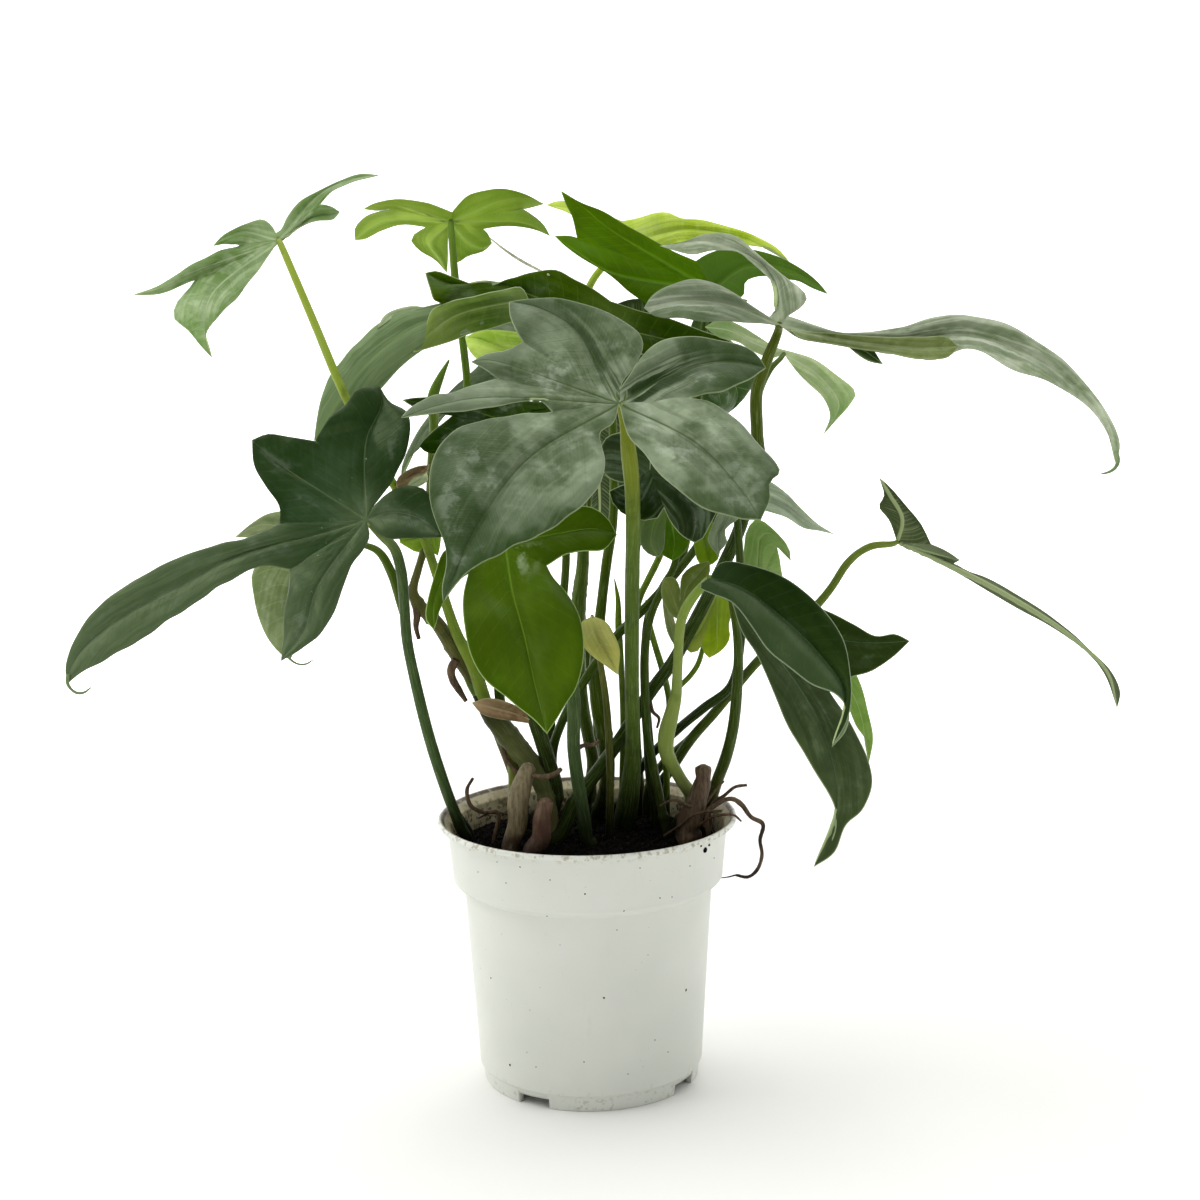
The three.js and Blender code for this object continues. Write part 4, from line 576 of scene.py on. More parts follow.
def lobeSides(leaf, index):
    # the two outlines of a lobe, each from its bay or from the join out to the tip
    lobes = leaf["lobes"]
    lobe = lobes[index]
    join = leaf["join"][:2]
    ends = []
    for side in (0, 1):
        owner = lobes[index - 1] if side == 0 else lobe
        isOpen = index == 0 if side == 0 else index == len(lobes) - 1
        marks = marksOf(lobe["to"]) if side == 0 else marksOf(lobe["back"])[::-1]
        start = join if isOpen else owner["gap"][:2]
        ends.append((isOpen, np.array(start, float), np.array([start, *marks, lobe["tip"][:2]], float)))
    return ends


def ribLine(leaf, lobe, ends, rows):
    join = np.array(leaf["join"][:2], float)
    tip = np.array(lobe["tip"][:2], float)
    if "rib" in lobe:
        marks = marksOf(lobe["rib"])
    else:
        sides = [spaced(line, 20) for _, _, line in ends]
        near = (sides[0][7] + sides[1][7]) / 2
        far = (sides[0][14] + sides[1][14]) / 2
        marks = [far] if np.dot(near - join, far - near) < 0 else [near, far]
    return spaced(np.vstack([join, np.array(marks, float)[:, :2], tip]), rows)


def leafSheet(leaf):
    # A blade is a fan of lobes round its join. Each lobe has a rib, and on either side of it a sheet out to
    # the margin. A point has its relief in mm, and a corner what the finish needs to know about its place.
    scale = view["mmPerUnit"]
    join = np.array(leaf["join"][:2], float)
    joinDepth = leaf["join"][2]
    leanRight, leanUp = leaf["lean"]
    lobes = leaf["lobes"]

    def plane(p):
        sideways = leanRight * (p[..., 0] - join[0]) * scale
        return joinDepth + sideways + leanUp * (join[1] - p[..., 1]) * scale

    reach = [np.linalg.norm(np.array(lobe["tip"][:2]) - join) * scale for lobe in lobes]
    fewest, most = leafMake["fewestRows"], leafMake["mostRows"]
    rows = [int(np.clip(r / leafMake["rowStep"], fewest, most)) for r in reach]
    seams = []
    for i, lobe in enumerate(lobes[:-1]):
        seam = np.linalg.norm(np.array(lobe["gap"][:2]) - join) * scale
        mean = (reach[i] + reach[i + 1]) / 2
        shorter = min(rows[i], rows[i + 1])
        seams.append(int(np.clip(shorter * seam / mean, 1, shorter - 3)))
    columns = np.array(leafMake["columns"])[None, :]
    rng = random.Random(leaf["id"])
    phases = [rng.uniform(0, 6.3) for _ in range(3)]
    marks, relief, quads, facts = [], [], [], []
    made = 0
    for index, lobe in enumerate(lobes):
        count = rows[index]
        bend = lobe["tip"][2]
        ends = lobeSides(leaf, index)
        rib = ribLine(leaf, lobe, ends, count)
        share = np.linspace(0, 1, count + 1)
        ribDepth = plane(rib) + bend * share**2
        along = np.concatenate([[0], np.cumsum(np.linalg.norm(np.diff(rib, axis=0), axis=1))]) * scale
        wavePhase = rng.uniform(0, 6.3)
        for side, (isOpen, start, marksOut) in enumerate(ends):
            inner = 0 if isOpen else seams[index - 1 if side == 0 else index]
            line = spaced(marksOut, count - inner)
            edge = np.vstack([join + (start - join) * (r / inner) for r in range(inner)] + [line])
            out = np.clip((np.arange(count + 1) - inner) / (count - inner), 0, 1)
            width = np.linalg.norm(edge - rib, axis=1) * scale
            edgeDepth = plane(edge) + bend * out**2 + lobe.get("fold", 0) * width * smoothStep(out / 0.3)
            edgeDepth[0], edgeDepth[-1] = ribDepth[0], ribDepth[-1]
            seamLeft = np.linalg.norm(edge - start, axis=1) * scale * (out <= 0)
            ribMarks = np.column_stack([rib, ribDepth])[:, None, :]
            edgeMarks = np.column_stack([edge, edgeDepth])[:, None, :]
            mark = ribMarks + (edgeMarks - ribMarks) * columns[..., None]
            down, run, free = share[:, None], along[:, None], smoothStep(out / 0.3)[:, None]
            toRib = width[:, None] * columns
            body = 4 * columns * (1 - columns)
            tipFade = np.minimum(1, 4 * (1 - down))
            vein = np.sin(2 * math.pi * (run - leafMake["veinSlope"] * toRib) / leafMake["veinSpacing"])
            wave = np.sin(run / 4.2 + wavePhase + side * 1.7) * columns**3 * free
            height = leafMake["pillow"] * width[:, None] * body * (0.4 + 0.6 * free)
            height += leafMake["veinHeight"] * vein * body * tipFade
            height += leafMake["marginWave"] * wave * tipFade * np.minimum(1, width / 8)[:, None]
            acrossBlade = (mark[..., 0] - join[0]) * scale
            upBlade = (mark[..., 1] - join[1]) * scale
            slow = np.sin(acrossBlade * 0.19 + phases[0]) * np.sin(upBlade * 0.23 + phases[1])
            slow += 0.6 * np.sin(acrossBlade * 0.41 - upBlade * 0.33 + phases[2])
            height += leafMake["swell"] * slow * np.minimum(1, toRib / 6) * tipFade
            groove = np.exp(-((toRib / leafMake["grooveWidth"]) ** 2))
            height -= leafMake["groove"] * groove * tipFade * np.minimum(1, run / 5)
            ridge = np.exp(-((toRib / leafMake["ribWidth"]) ** 2)) * (1 - down) ** 0.6
            ridge = ridge * leafMake["ribHeight"]
            toMargin = width[:, None] * (1 - columns) + seamLeft[:, None]
            toJoin = np.linalg.norm(mark[..., :2] - join, axis=-1) * scale
            one = np.ones_like(toRib)
            fact = [toRib * (2 * side - 1), run * one, toMargin, down * one, toJoin, index * one]
            marks.append(mark.reshape(-1, 3))
            relief.append(np.stack([height, ridge, np.minimum(1, toMargin / 1.5)], -1).reshape(-1, 3))
            facts.append(np.stack(fact, -1).reshape(-1, 6))
            grid = made + np.arange(mark.shape[0] * mark.shape[1]).reshape(mark.shape[:2])
            made += grid.size
            ring = np.stack([grid[:-1, :-1], grid[1:, :-1], grid[1:, 1:], grid[:-1, 1:]], -1)
            ring = ring.reshape(-1, 4)
            quads.append(ring[:, ::-1] if side == 1 else ring)
    marks, quads = np.vstack(marks), np.vstack(quads)
    relief, facts = np.vstack(relief), np.vstack(facts)
    rounded = np.round(marks * 500).astype(int)
    _, first, same = np.unique(rounded, axis=0, return_index=True, return_inverse=True)
    merged = same.reshape(-1)[quads]
    points = placed(marks)
    a, b, c = (points[quads[:, k]] for k in range(3))
    towardsEye = np.cross(b - a, c - a) * ((eye - shift) * mm - a)
    if np.sum(towardsEye) < 0:  # the first face is the one seen from in front
        merged, quads = merged[:, ::-1], quads[:, ::-1]
    faces, corners = [], []
    for ring, spots in zip(merged.tolist(), quads.tolist()):
        kept = [k for k in range(4) if ring[k] not in ring[:k]]
        if len(kept) > 2:
            faces.append([ring[k] for k in kept])
            corners.append([spots[k] for k in kept])
    return marks[first], relief[first], faces, corners, facts


def pointNormals(points, faces):
    normals = np.zeros_like(points)
    rings = np.array([ring if len(ring) == 4 else [*ring, ring[2]] for ring in faces])
    a, b, c, d = (points[rings[:, k]] for k in range(4))
    normal = np.cross(c - a, d - b)
    for k in range(4):
        np.add.at(normals, rings[:, k], normal)
    return normals / np.maximum(np.linalg.norm(normals, axis=1, keepdims=True), 1e-12)


def openEdges(faces):
    used = {(ring[i], ring[(i + 1) % len(ring)]) for ring in faces for i in range(len(ring))}
    return sorted((a, b) for a, b in used if (b, a) not in used)


def makeLeaf(leaf, look):
    marks, relief, faces, corners, facts = leafSheet(leaf)
    facing = -1 if look.get("showsUnderside") else 1  # which way the upper side looks
    points = placed(marks)
    normals = pointNormals(points, faces)
    points = points + normals * (relief[:, 0:1] * facing * mm)
    normals = pointNormals(points, faces)
    margin = leafMake["marginThick"]
    half = (margin + (leafMake["thick"] - margin) * relief[:, 2:3]) / 2 * mm
    ridge = relief[:, 1:2] * mm
    front = points + normals * (half + (ridge if facing < 0 else 0))
    back = points - normals * (half + (ridge if facing > 0 else 0))
    count = len(points)
    edges = openEdges(faces)
    allFaces = list(faces) + [[i + count for i in reversed(ring)] for ring in faces]
    allCorners = list(corners) + [list(reversed(kept)) for kept in corners]
    beside = {}
    for ring, kept in zip(faces, corners):
        beside.update(zip(ring, kept))
    for a, b in edges:
        allFaces.append([a, a + count, b + count, b])
        allCorners.append([beside[a], beside[a], beside[b], beside[b]])
    isUnder = [facing < 0] * len(faces) + [facing > 0] * len(faces) + [False] * len(edges)
    finish = leafFinish(leaf["id"], look)
    piece = newPiece("leaf_" + leaf["id"], np.vstack([front, back]), allFaces, [finish])
    # per-lobe tone shifts, partly painted shade and light
    shades = look.get("lobeShades", [0] * len(leaf["lobes"]))
    flat = facts[[i for kept in allCorners for i in kept]]
    lobeIndex = flat[:, 5].astype(int)
    flat[:, 5] = np.array(shades)[lobeIndex]
    # how much painted valley shade each lobe gets
    valleyShade = np.array(look.get("valleyShade", [0.3] * len(leaf["lobes"])), float)[lobeIndex]
    made = piece.data.attributes.new("valleyShade", "FLOAT", "CORNER")
    made.data.foreach_set("value", valleyShade)
    for attribute, values in (("leafPlace", flat[:, :3]), ("leafSpot", flat[:, 3:])):
        made = piece.data.attributes.new(attribute, "FLOAT_VECTOR", "CORNER")
        made.data.foreach_set("vector", values.ravel())
    under = piece.data.attributes.new("underside", "FLOAT", "FACE")
    under.data.foreach_set("value", np.array(isUnder, float))
    if leaf["tone"] == "dry":  # a sheath, which the solid model goes without
        settle(piece, "dry_stub")
    else:
        settle(piece, "leaf_" + leaf["tone"], "blade_" + leaf["id"])
    return piece


plainLeaf = {  # a leaf's look, where it says nothing else
    "spots": 0.35, "drawn": 0.6, "streaks": 0.2, "edgeTone": 0, "edgeReach": 7, "shadeBy": 0.02,
    "shadeDark": "#16240f", "shadeLight": "#93a587", "bloomAndSheen": 0.3, "bloomAndSheenColour": "#a9b5a6",
    "shadedFurrows": 0.25, "valleyShadeColour": "#16290f", "tipTone": 0, "tipColour": "#31500e", "joinGlow": 0.3,
    "joinSheen": 0, "rib": "#8fa86a", "ribShow": 0.55, "firstSideLight": 0, "secondSideLight": 0,
    "sideLightColour": "#5f7050", "veins": 0.3, "marginShow": 0.3, "margin": "#b9c79a", "under": "#7f9468",
    "underLight": "#98ab7c", "rough": 0.4, "gloss": 0.3, "shine": "#b9cf8a", "bump": 0.35, "glow": 0.2,
    "glowColour": "#8fc020",
}


def leafFinish(name, look):
    tones = {"edgeColour": look["deep"], "furrowShadeColour": look["deep"], "ridgeLightColour": look["light"]}
    look = {**plainLeaf, **tones, **look}
    made, sheet = newFinish("leaf_" + name)
    across, along, toMargin = sheet.split(sheet.attribute("leafPlace"))
    toRib = sheet.maths("ABSOLUTE", across)
    share, toJoin, shade = sheet.split(sheet.attribute("leafSpot"))
    under, valleyShade = sheet.amount("underside"), sheet.amount("valleyShade")
    place = sheet.objectPlace()
    cloud = sheet.smooth(sheet.noise(place, 34, 4), 0.36, 0.66)
    patch = sheet.noise(place, 62, 5, 0.62)
    mottle = sheet.noise(place, 190, 3, 0.6)
    veinRun = along - toRib * leafMake["veinSlope"]
    streak = sheet.noise(sheet.vector(toRib * 0.05, veinRun * 0.34, shade * 5), 1.0, 4, 0.6)
    flow = sheet.noise(sheet.vector(across * 0.16, along * 0.035, shade * 5), 1.0, 3, 0.6)
    line = sheet.noise(sheet.vector(across * 0.5 + flow * 2, along * 0.02, shade * 5), 1.0, 2, 0.6)
    wobble = sheet.noise(place, 60, 1) * 0.35
    phase = sheet.maths("PINGPONG", veinRun / leafMake["veinSpacing"] + wobble, 0.5) * 2
    inside = sheet.smooth(toMargin, 0.5, 4) * sheet.smooth(toRib, 0.2, 1.5)
    vein = (1 - sheet.smooth(phase, 0.0, 0.13)) * inside
    finePhase = sheet.maths("PINGPONG", veinRun / leafMake["fineSpacing"] + wobble * 2, 0.5) * 2
    fineVein = (1 - sheet.smooth(finePhase, 0, 0.5)) * inside
    ribWide = 0.85 - share * 0.55
    rib = 1 - sheet.smooth(toRib / ribWide, 0.3, 1.0)
    margin = 1 - sheet.smooth(toMargin, 0.12, 0.5)
    nearJoin = 1 - sheet.smooth(toJoin, 2, 20)

    spots = sheet.smooth(mottle, 0.42, 0.62) * look["spots"]
    drawn = look["drawn"]
    base = sheet.smooth(flow * drawn + cloud * (1 - drawn), 0.28, 0.78) * 0.75 + spots
    tone = sheet.blend(base, look["deep"], look["light"])
    tone = sheet.blend(sheet.smooth(streak, 0.45, 0.75) * look["streaks"], tone, look["light"])
    edge = 1 - sheet.smooth(toMargin, 0, look["edgeReach"])
    tone = sheet.blend(edge * look["edgeTone"], tone, look["edgeColour"])
    # each lobe moves towards a darker and a lighter tone by its own amount: partly the lobe's own tone,
    # partly painted shade and light from how the lobe faces
    shade = shade * sheet.smooth(share, 0, look["shadeBy"])
    darker = sheet.maths("MAXIMUM", shade * -1, 0)
    lighter = sheet.maths("MAXIMUM", shade, 0)
    tone = sheet.blend(darker, tone, look["shadeDark"])
    tone = sheet.blend(lighter, tone, look["shadeLight"])
    # pale patches: partly the leaf's own waxy bloom, partly a painted sheen standing in for soft
    # reflections
    drawnPatch = patch * (1 - drawn * 0.65) + flow * drawn * 0.65
    bloomAndSheen = sheet.smooth(drawnPatch, 0.5, 0.62) * (0.25 + 0.75 * sheet.smooth(mottle, 0.44, 0.58))
    bloomAndSheen = bloomAndSheen * sheet.smooth(toMargin, 1, 6)
    tone = sheet.blend(bloomAndSheen * look["bloomAndSheen"], tone, look["bloomAndSheenColour"])
    # painted shade: dark lines along the rib near the join, where shade falls in the valley of a folded
    # lobe, by a share set per lobe
    dark = sheet.smooth(line, 0.6, 0.44)
    reach = (1 - sheet.smooth(toRib, 1.5, 12)) * (1 - sheet.smooth(share, 0.35, 0.9))
    dark = (0.25 + 0.75 * dark) * reach * sheet.smooth(toJoin, 1.5, 7)
    # painted shade in the lengthwise furrows and painted light along the ridges between them; the furrows
    # are also bumped below
    shadedFurrows = sheet.smooth(line, 0.56, 0.42) * look["shadedFurrows"] * sheet.smooth(toRib, 0.3, 2)
    tone = sheet.blend(shadedFurrows * sheet.smooth(toMargin, 0.2, 1.5), tone, look["furrowShadeColour"])
    litRidges = sheet.smooth(line, 0.54, 0.66) * look.get("litRidges", look["shadedFurrows"] * 0.6)
    tone = sheet.blend(litRidges * sheet.smooth(toRib, 0.3, 2), tone, look["ridgeLightColour"])
    tone = sheet.blend(dark * valleyShade, tone, look["valleyShadeColour"])
    tone = sheet.blend(sheet.smooth(share, 0.42, 0.8) * look["tipTone"], tone, look["tipColour"])
    tone = sheet.blend(nearJoin * look["joinGlow"] * (1 - valleyShade), tone, look["rib"])
    # painted highlight: a glossy sheen beside the rib near the join
    sheen = (1 - sheet.smooth(toJoin, 6, 19)) * sheet.smooth(patch, 0.45, 0.57)
    sheen = sheen * sheet.smooth(toRib, 0.6, 3)
    tone = sheet.blend(sheen * look["joinSheen"], tone, look["bloomAndSheenColour"])
    # painted light: one half of the blade beside the rib is made paler, a sheen where that half catches the
    # light
    half = sheet.smooth(across, -1.2, 1.2)
    tone = sheet.blend((1 - half) * look["firstSideLight"] + half * look["secondSideLight"], tone,
                       look["sideLightColour"])
    tone = sheet.blend(fineVein * look["veins"] * 0.3, tone, look["light"])
    tone = sheet.blend(vein * look["veins"], tone, look["rib"])
    tone = sheet.blend(rib * look["ribShow"], tone, look["rib"])
    tone = sheet.blend(margin * look["marginShow"], tone, look["margin"])
    lower = sheet.blend(cloud, look["under"], look["underLight"])
    lower = sheet.blend(edge * look["edgeTone"], lower, look["edgeColour"])
    lower = sheet.blend(shadedFurrows * sheet.smooth(toMargin, 0.2, 1.5), lower, look["furrowShadeColour"])
    lower = sheet.blend(fineVein * 0.2 + vein * 0.35, lower, look.get("underVein", "#aebd8c"))
    lower = sheet.blend(rib * 0.7, lower, look.get("underVein", "#b7c78e"))
    lower = sheet.blend(lighter * 0.85, lower, look["shadeLight"])
    tone = sheet.blend(under, tone, lower)

    relief = vein * 0.35 + fineVein * 0.1 + flow * 0.5 + line * 0.3 * look["shadedFurrows"] + mottle * 0.35
    rough = look["rough"] + mottle * 0.2 - 0.1 + under * 0.15
    leafSurface = sheet.surface({
        "Base Color": tone,
        "Roughness": rough,
        "Specular IOR Level": look["gloss"],
        "Specular Tint": look["shine"],
        "Normal": sheet.bump(relief, look["bump"], 0.0006),
    })
    glow = sheet.blend(0.35, tone, look["glowColour"])
    through = sheet.made("ShaderNodeBsdfTranslucent", None, {"Color": glow})
    sheet.show(sheet.made("ShaderNodeMixShader", None, {0: look["glow"], 1: leafSurface, 2: through}))
    return made


def newGeometryTree(name, sockets):
    tree = bpy.data.node_groups.new(name, "GeometryNodeTree")
    sheet = NodeSheet(tree)
    for socketName, kind, direction in sockets:
        tree.interface.new_socket(name=socketName, in_out=direction, socket_type="NodeSocket" + kind)
    return tree, sheet, sheet.node("NodeGroupInput")


def runTree(piece, tree, values):  # the modifier's result as the piece's own plain mesh
    modifier = piece.modifiers.new(tree.name, "NODES")
    modifier.node_group = tree
    for socketName, value in values.items():
        modifier[tree.interface.items_tree[socketName].identifier] = value
    piece.update_tag()
    bpy.context.view_layer.update()
    evaluated = piece.evaluated_get(bpy.context.evaluated_depsgraph_get())
    mesh = bpy.data.meshes.new_from_object(evaluated)
    piece.modifiers.clear()
    piece.data = mesh
    mesh.name = piece.name
    return piece


def stalkTree():  # a line of points with a radius each becomes a round stalk
    tree, sheet, given = newGeometryTree("stalkAlongLine", [
        ("Line", "Geometry", "INPUT"),
        ("Ring Spacing", "Float", "INPUT"),
        ("Sides", "Int", "INPUT"),
        ("Ripple", "Float", "INPUT"),
        ("Ripple Scale", "Float", "INPUT"),
        ("Finish", "Material", "INPUT"),
        ("Stalk", "Geometry", "OUTPUT"),
    ])
    names = ("Line", "Ring Spacing", "Sides", "Ripple", "Ripple Scale", "Finish")
    take = {name: sheet.out(given, name) for name in names}
    curve = sheet.made("GeometryNodeMeshToCurve", None, {0: take["Line"]})
    resample = sheet.node("GeometryNodeResampleCurve", {"mode": "LENGTH"}, {"Curve": curve})
    sheet.feed(resample.inputs["Length"], take["Ring Spacing"])
    settings = {"data_type": "FLOAT"}
    radius = sheet.made("GeometryNodeInputNamedAttribute", settings, {"Name": "thick"})
    place = sheet.made("GeometryNodeInputPosition")
    lumps = sheet.noise(place, take["Ripple Scale"], 2) - 0.5
    thick = radius * (1 + lumps * take["Ripple"])
    inputs = {"Resolution": take["Sides"], "Radius": 1.0}
    circle = sheet.node("GeometryNodeCurvePrimitiveCircle", None, inputs)
    around = sheet.made("GeometryNodeSplineParameter", output="Factor")
    capture = sheet.node("GeometryNodeCaptureAttribute")
    capture.capture_items.new("FLOAT", "around")
    sheet.feed(capture.inputs[0], sheet.out(circle))
    sheet.feed(capture.inputs[1], around)
    inputs = {0: sheet.out(resample), "Profile Curve": sheet.out(capture, 0), "Scale": thick}
    inputs["Fill Caps"] = True
    tube = sheet.made("GeometryNodeCurveToMesh", None, inputs)
    settings = {"data_type": "FLOAT", "domain": "POINT"}
    inputs = {"Geometry": tube, "Name": "around", "Value": sheet.out(capture, 1)}
    tube = sheet.made("GeometryNodeStoreNamedAttribute", settings, inputs)
    tube = sheet.made("GeometryNodeSetShadeSmooth", None, {"Geometry": tube})
    tube = sheet.made("GeometryNodeRealizeInstances", None, {0: tube})
    tube = sheet.made("GeometryNodeSetMaterial", None, {0: tube, "Material": take["Finish"]})
    sheet.node("NodeGroupOutput", None, {"Stalk": tube})
    return tree


stalkMake = {
    "ringSpacing": 0.0012,
    "sides": 20,
    "rippleScale": 200.0,
    "rootSides": 10,
    "thinBelow": 1.3,  # mm of radius under which a stalk has a root's few sides
    "soilSink": 4.0,  # mm a stalk goes below the soil's surface
}
stalkAlongLine = stalkTree()


def makeStalk(name, points, radii, finish, ripple=0.07, rings=()):
    # points in mm from the pot's axis; each ring is [share of the length, extra radius, half width in mm]
    joined = spaced(np.column_stack([points, radii]), max(24, int(len(points) * 12)))
    line, radius = joined[:, :3], joined[:, 3]
    run = np.concatenate([[0], np.cumsum(np.linalg.norm(np.diff(line, axis=0), axis=1))])
    wanted = np.linspace(0, run[-1], max(16, int(run[-1] / 0.8)))
    line = np.stack([np.interp(wanted, run, line[:, k]) for k in range(3)], -1)
    radius = np.maximum(np.interp(wanted, run, radius), 0.12)
    for share, extra, halfWidth in rings:
        radius = radius + extra * np.exp(-(((wanted - share * run[-1]) / halfWidth) ** 2))
    mesh = bpy.data.meshes.new(name)
    edges = [(i, i + 1) for i in range(len(line) - 1)]
    mesh.from_pydata([tuple(p) for p in fromAxis(line)], edges, [])
    for attribute, values in (("thick", radius * mm), ("share", wanted / run[-1]), ("run", wanted)):
        made = mesh.attributes.new(attribute, "FLOAT", "POINT")
        made.data.foreach_set("value", np.array(values, float))
    thin = radius.max() < stalkMake["thinBelow"]
    return runTree(newObject(name, mesh), stalkAlongLine, {
        "Ring Spacing": stalkMake["ringSpacing"] if radius.max() > 1 else stalkMake["ringSpacing"] / 2,
        "Sides": stalkMake["rootSides"] if thin else stalkMake["sides"],
        "Ripple": ripple,
        "Ripple Scale": stalkMake["rippleScale"] * (2 if thin else 1),
        "Finish": finish,
    })


def stalkFinish(name, look):
    made, sheet = newFinish(name)
    share, run, around = sheet.amount("share"), sheet.amount("run"), sheet.amount("around")
    turn = around * (2 * math.pi)
    side = sheet.maths("COSINE", turn)
    front = sheet.maths("SINE", turn)
    fibre = sheet.noise(sheet.vector(side * 7, front * 7, run * 0.09), 1.0, 4, 0.65)
    cloud = sheet.noise(sheet.objectPlace(), 90, 4, 0.6)
    dots = sheet.noise(sheet.vector(side * 5, front * 5, run * 0.9), 1.6, 2)
    tone = sheet.blend(sheet.smooth(share, 0.0, look.get("footReach", 0.3)), look["foot"], look["middle"])
    tone = sheet.blend(sheet.smooth(share, look.get("topStart", 0.6), 1.0), tone, look["top"])
    tone = sheet.blend(sheet.smooth(fibre, 0.45, 0.75) * 0.4, tone, look.get("pale", "#8ba06a"))
    tone = sheet.blend(sheet.smooth(cloud, 0.5, 0.75) * 0.45, tone, look.get("dark", "#22351c"))
    tone = sheet.blend(sheet.smooth(dots, 0.66, 0.72) * 0.35, tone, look.get("pale", "#8ba06a"))
    # darker towards the soil: partly soil on the stalk, partly painted shade low in the crown
    soilAndShade = (1 - sheet.smooth(run + cloud * 14, 10, 36)) * look.get("soil", 0.95)
    tone = sheet.blend(soilAndShade, tone, "#0c0d06")
    height = fibre * 0.7 + cloud * 0.3
    sheet.show(sheet.surface({
        "Base Color": tone,
        "Roughness": look.get("rough", 0.42) + cloud * 0.15,
        "Specular IOR Level": 0.3,
        "Specular Tint": "#98b040",
        "Subsurface Weight": 0.08,
        "Subsurface Radius": (0.4, 0.9, 0.2),
        "Subsurface Scale": 0.001,
        "Normal": sheet.bump(height, 0.4, 0.0006),
    }))
    return made


def barkFinish(name, look):  # stubs, sheaths and roots
    made, sheet = newFinish(name)
    place = sheet.objectPlace()
    x, y, z = sheet.split(place)
    fibre = sheet.noise(sheet.vector(x * 5, y * 5, z * 0.9), 150, 5, 0.65)
    patch = sheet.noise(place, 110, 4, 0.6)
    grain = sheet.noise(place, 700, 3, 0.7)
    tone = sheet.blend(sheet.smooth(fibre, 0.3, 0.7), look["dark"], look["light"])
    reddish = sheet.smooth(patch, 0.42, 0.66) * (1 - sheet.smooth(z, 0.1, look.get("patchTop", 0.125)))
    tone = sheet.blend(reddish * 0.85, tone, look["patch"])
    tone = sheet.blend(sheet.smooth(grain, 0.58, 0.75) * look.get("grain", 0.3), tone, look["dark"])
    low = 1 - sheet.smooth(z, 0.099, 0.108)
    tone = sheet.blend(low * sheet.smooth(patch, 0.3, 0.55) * 0.85, tone, "#22150d")
    height = fibre * 0.8 + grain * 0.35
    sheet.show(sheet.surface({
        "Base Color": tone,
        "Roughness": 0.55 + patch * 0.2,
        "Specular IOR Level": 0.3,
        "Normal": sheet.bump(height, look.get("bump", 0.35), 0.0008),
    }))
    return made


pot = {
    # [radius, height] in mm, from the axis round the outside and back along the inside
    "profile": [
        [0, 5.4], [41, 5.4], [41.2, 0], [43.5, 0], [44.3, 6.2], [45.3, 6.9], [50.0, 81.0], [53.9, 83.4],
        [54.5, 84.3], [54.4, 85.5], [56.4, 106.1], [60, 106.7], [60.1, 107.7], [59.7, 108.7],
        [58.5, 108.7],
        [57.6, 107.6], [55, 104.5], [52.7, 85.0], [48.6, 82.2], [43.9, 7.4], [0, 7.4],
    ],
    "insideCorner": 15,  # the profile's corner where the wall's inner face starts
    "cornerRound": 0.5,
    "segments": 192,
    "notches": [-122, -32, 58, 148],  # degrees
    "notchHalf": 9.3,
    "notchHeight": 4.0,
}


def softened(profile, size):  # each corner of the profile becomes a short arc
    profile = [np.array(p, float) for p in profile]
    made = [profile[0]]
    for before, corner, after in zip(profile, profile[1:], profile[2:]):
        reachIn = min(size, np.linalg.norm(before - corner) * 0.4)
        reachOut = min(size, np.linalg.norm(after - corner) * 0.4)
        first = corner + (before - corner) / np.linalg.norm(before - corner) * reachIn
        last = corner + (after - corner) / np.linalg.norm(after - corner) * reachOut
        for t in (0, 0.25, 0.5, 0.75, 1):
            made.append(first * (1 - t) ** 2 + corner * 2 * t * (1 - t) + last * t * t)
    return np.array(made + [profile[-1]])


def turnedFaces(rows, columns):
    faces = []
    for r in range(rows - 1):
        for c in range(columns):
            faces.append([r * columns + c, r * columns + (c + 1) % columns,
                          (r + 1) * columns + (c + 1) % columns, (r + 1) * columns + c])
    return faces


def makePot():
    profile = softened(pot["profile"], pot["cornerRound"])
    extra = [5.4 + (105 - 5.4) * i / 30 for i in range(1, 30)]
    beside = [side * (pot["notchHalf"] + off) for side in (-1, 1) for off in (-0.02, 0.02)]
    edges = {notch + angle for notch in pot["notches"] for angle in beside}
    angles = {round(360 * i / pot["segments"] - 180, 3) for i in range(pot["segments"])}
    angles = np.radians(sorted(angles | edges))
    columns = len(angles)
    inner = profile[1:-1]
    points = []
    for radius, height in inner:
        for angle in angles:
            z = height
            off = [abs((math.degrees(angle) - n + 180) % 360 - 180) for n in pot["notches"]]
            if min(off) < pot["notchHalf"] and radius > 40 and z < pot["notchHeight"]:
                z = pot["notchHeight"]
            points.append([radius * math.cos(angle), radius * math.sin(angle), z])
    faces = turnedFaces(len(inner), columns)
    points += [[0, 0, profile[0][1]], [0, 0, profile[-1][1]]]
    first, last = len(points) - 2, len(points) - 1
    top = (len(inner) - 1) * columns
    for c in range(columns):
        following = (c + 1) % columns
        faces.append([first, following, c])
        faces.append([last, top + c, top + following])
    insideFrom = pot["insideCorner"] * 5 - 1
    piece = newPiece("pot_shell", fromAxis(points), faces, [potFinish(), potInsideFinish()])
    for face in piece.data.polygons:
        if min(face.vertices) >= insideFrom * columns and face.index < len(faces) - 2 * columns:
            face.material_index = 1
    settle(piece, "pot_plastic", "pot")
    return piece


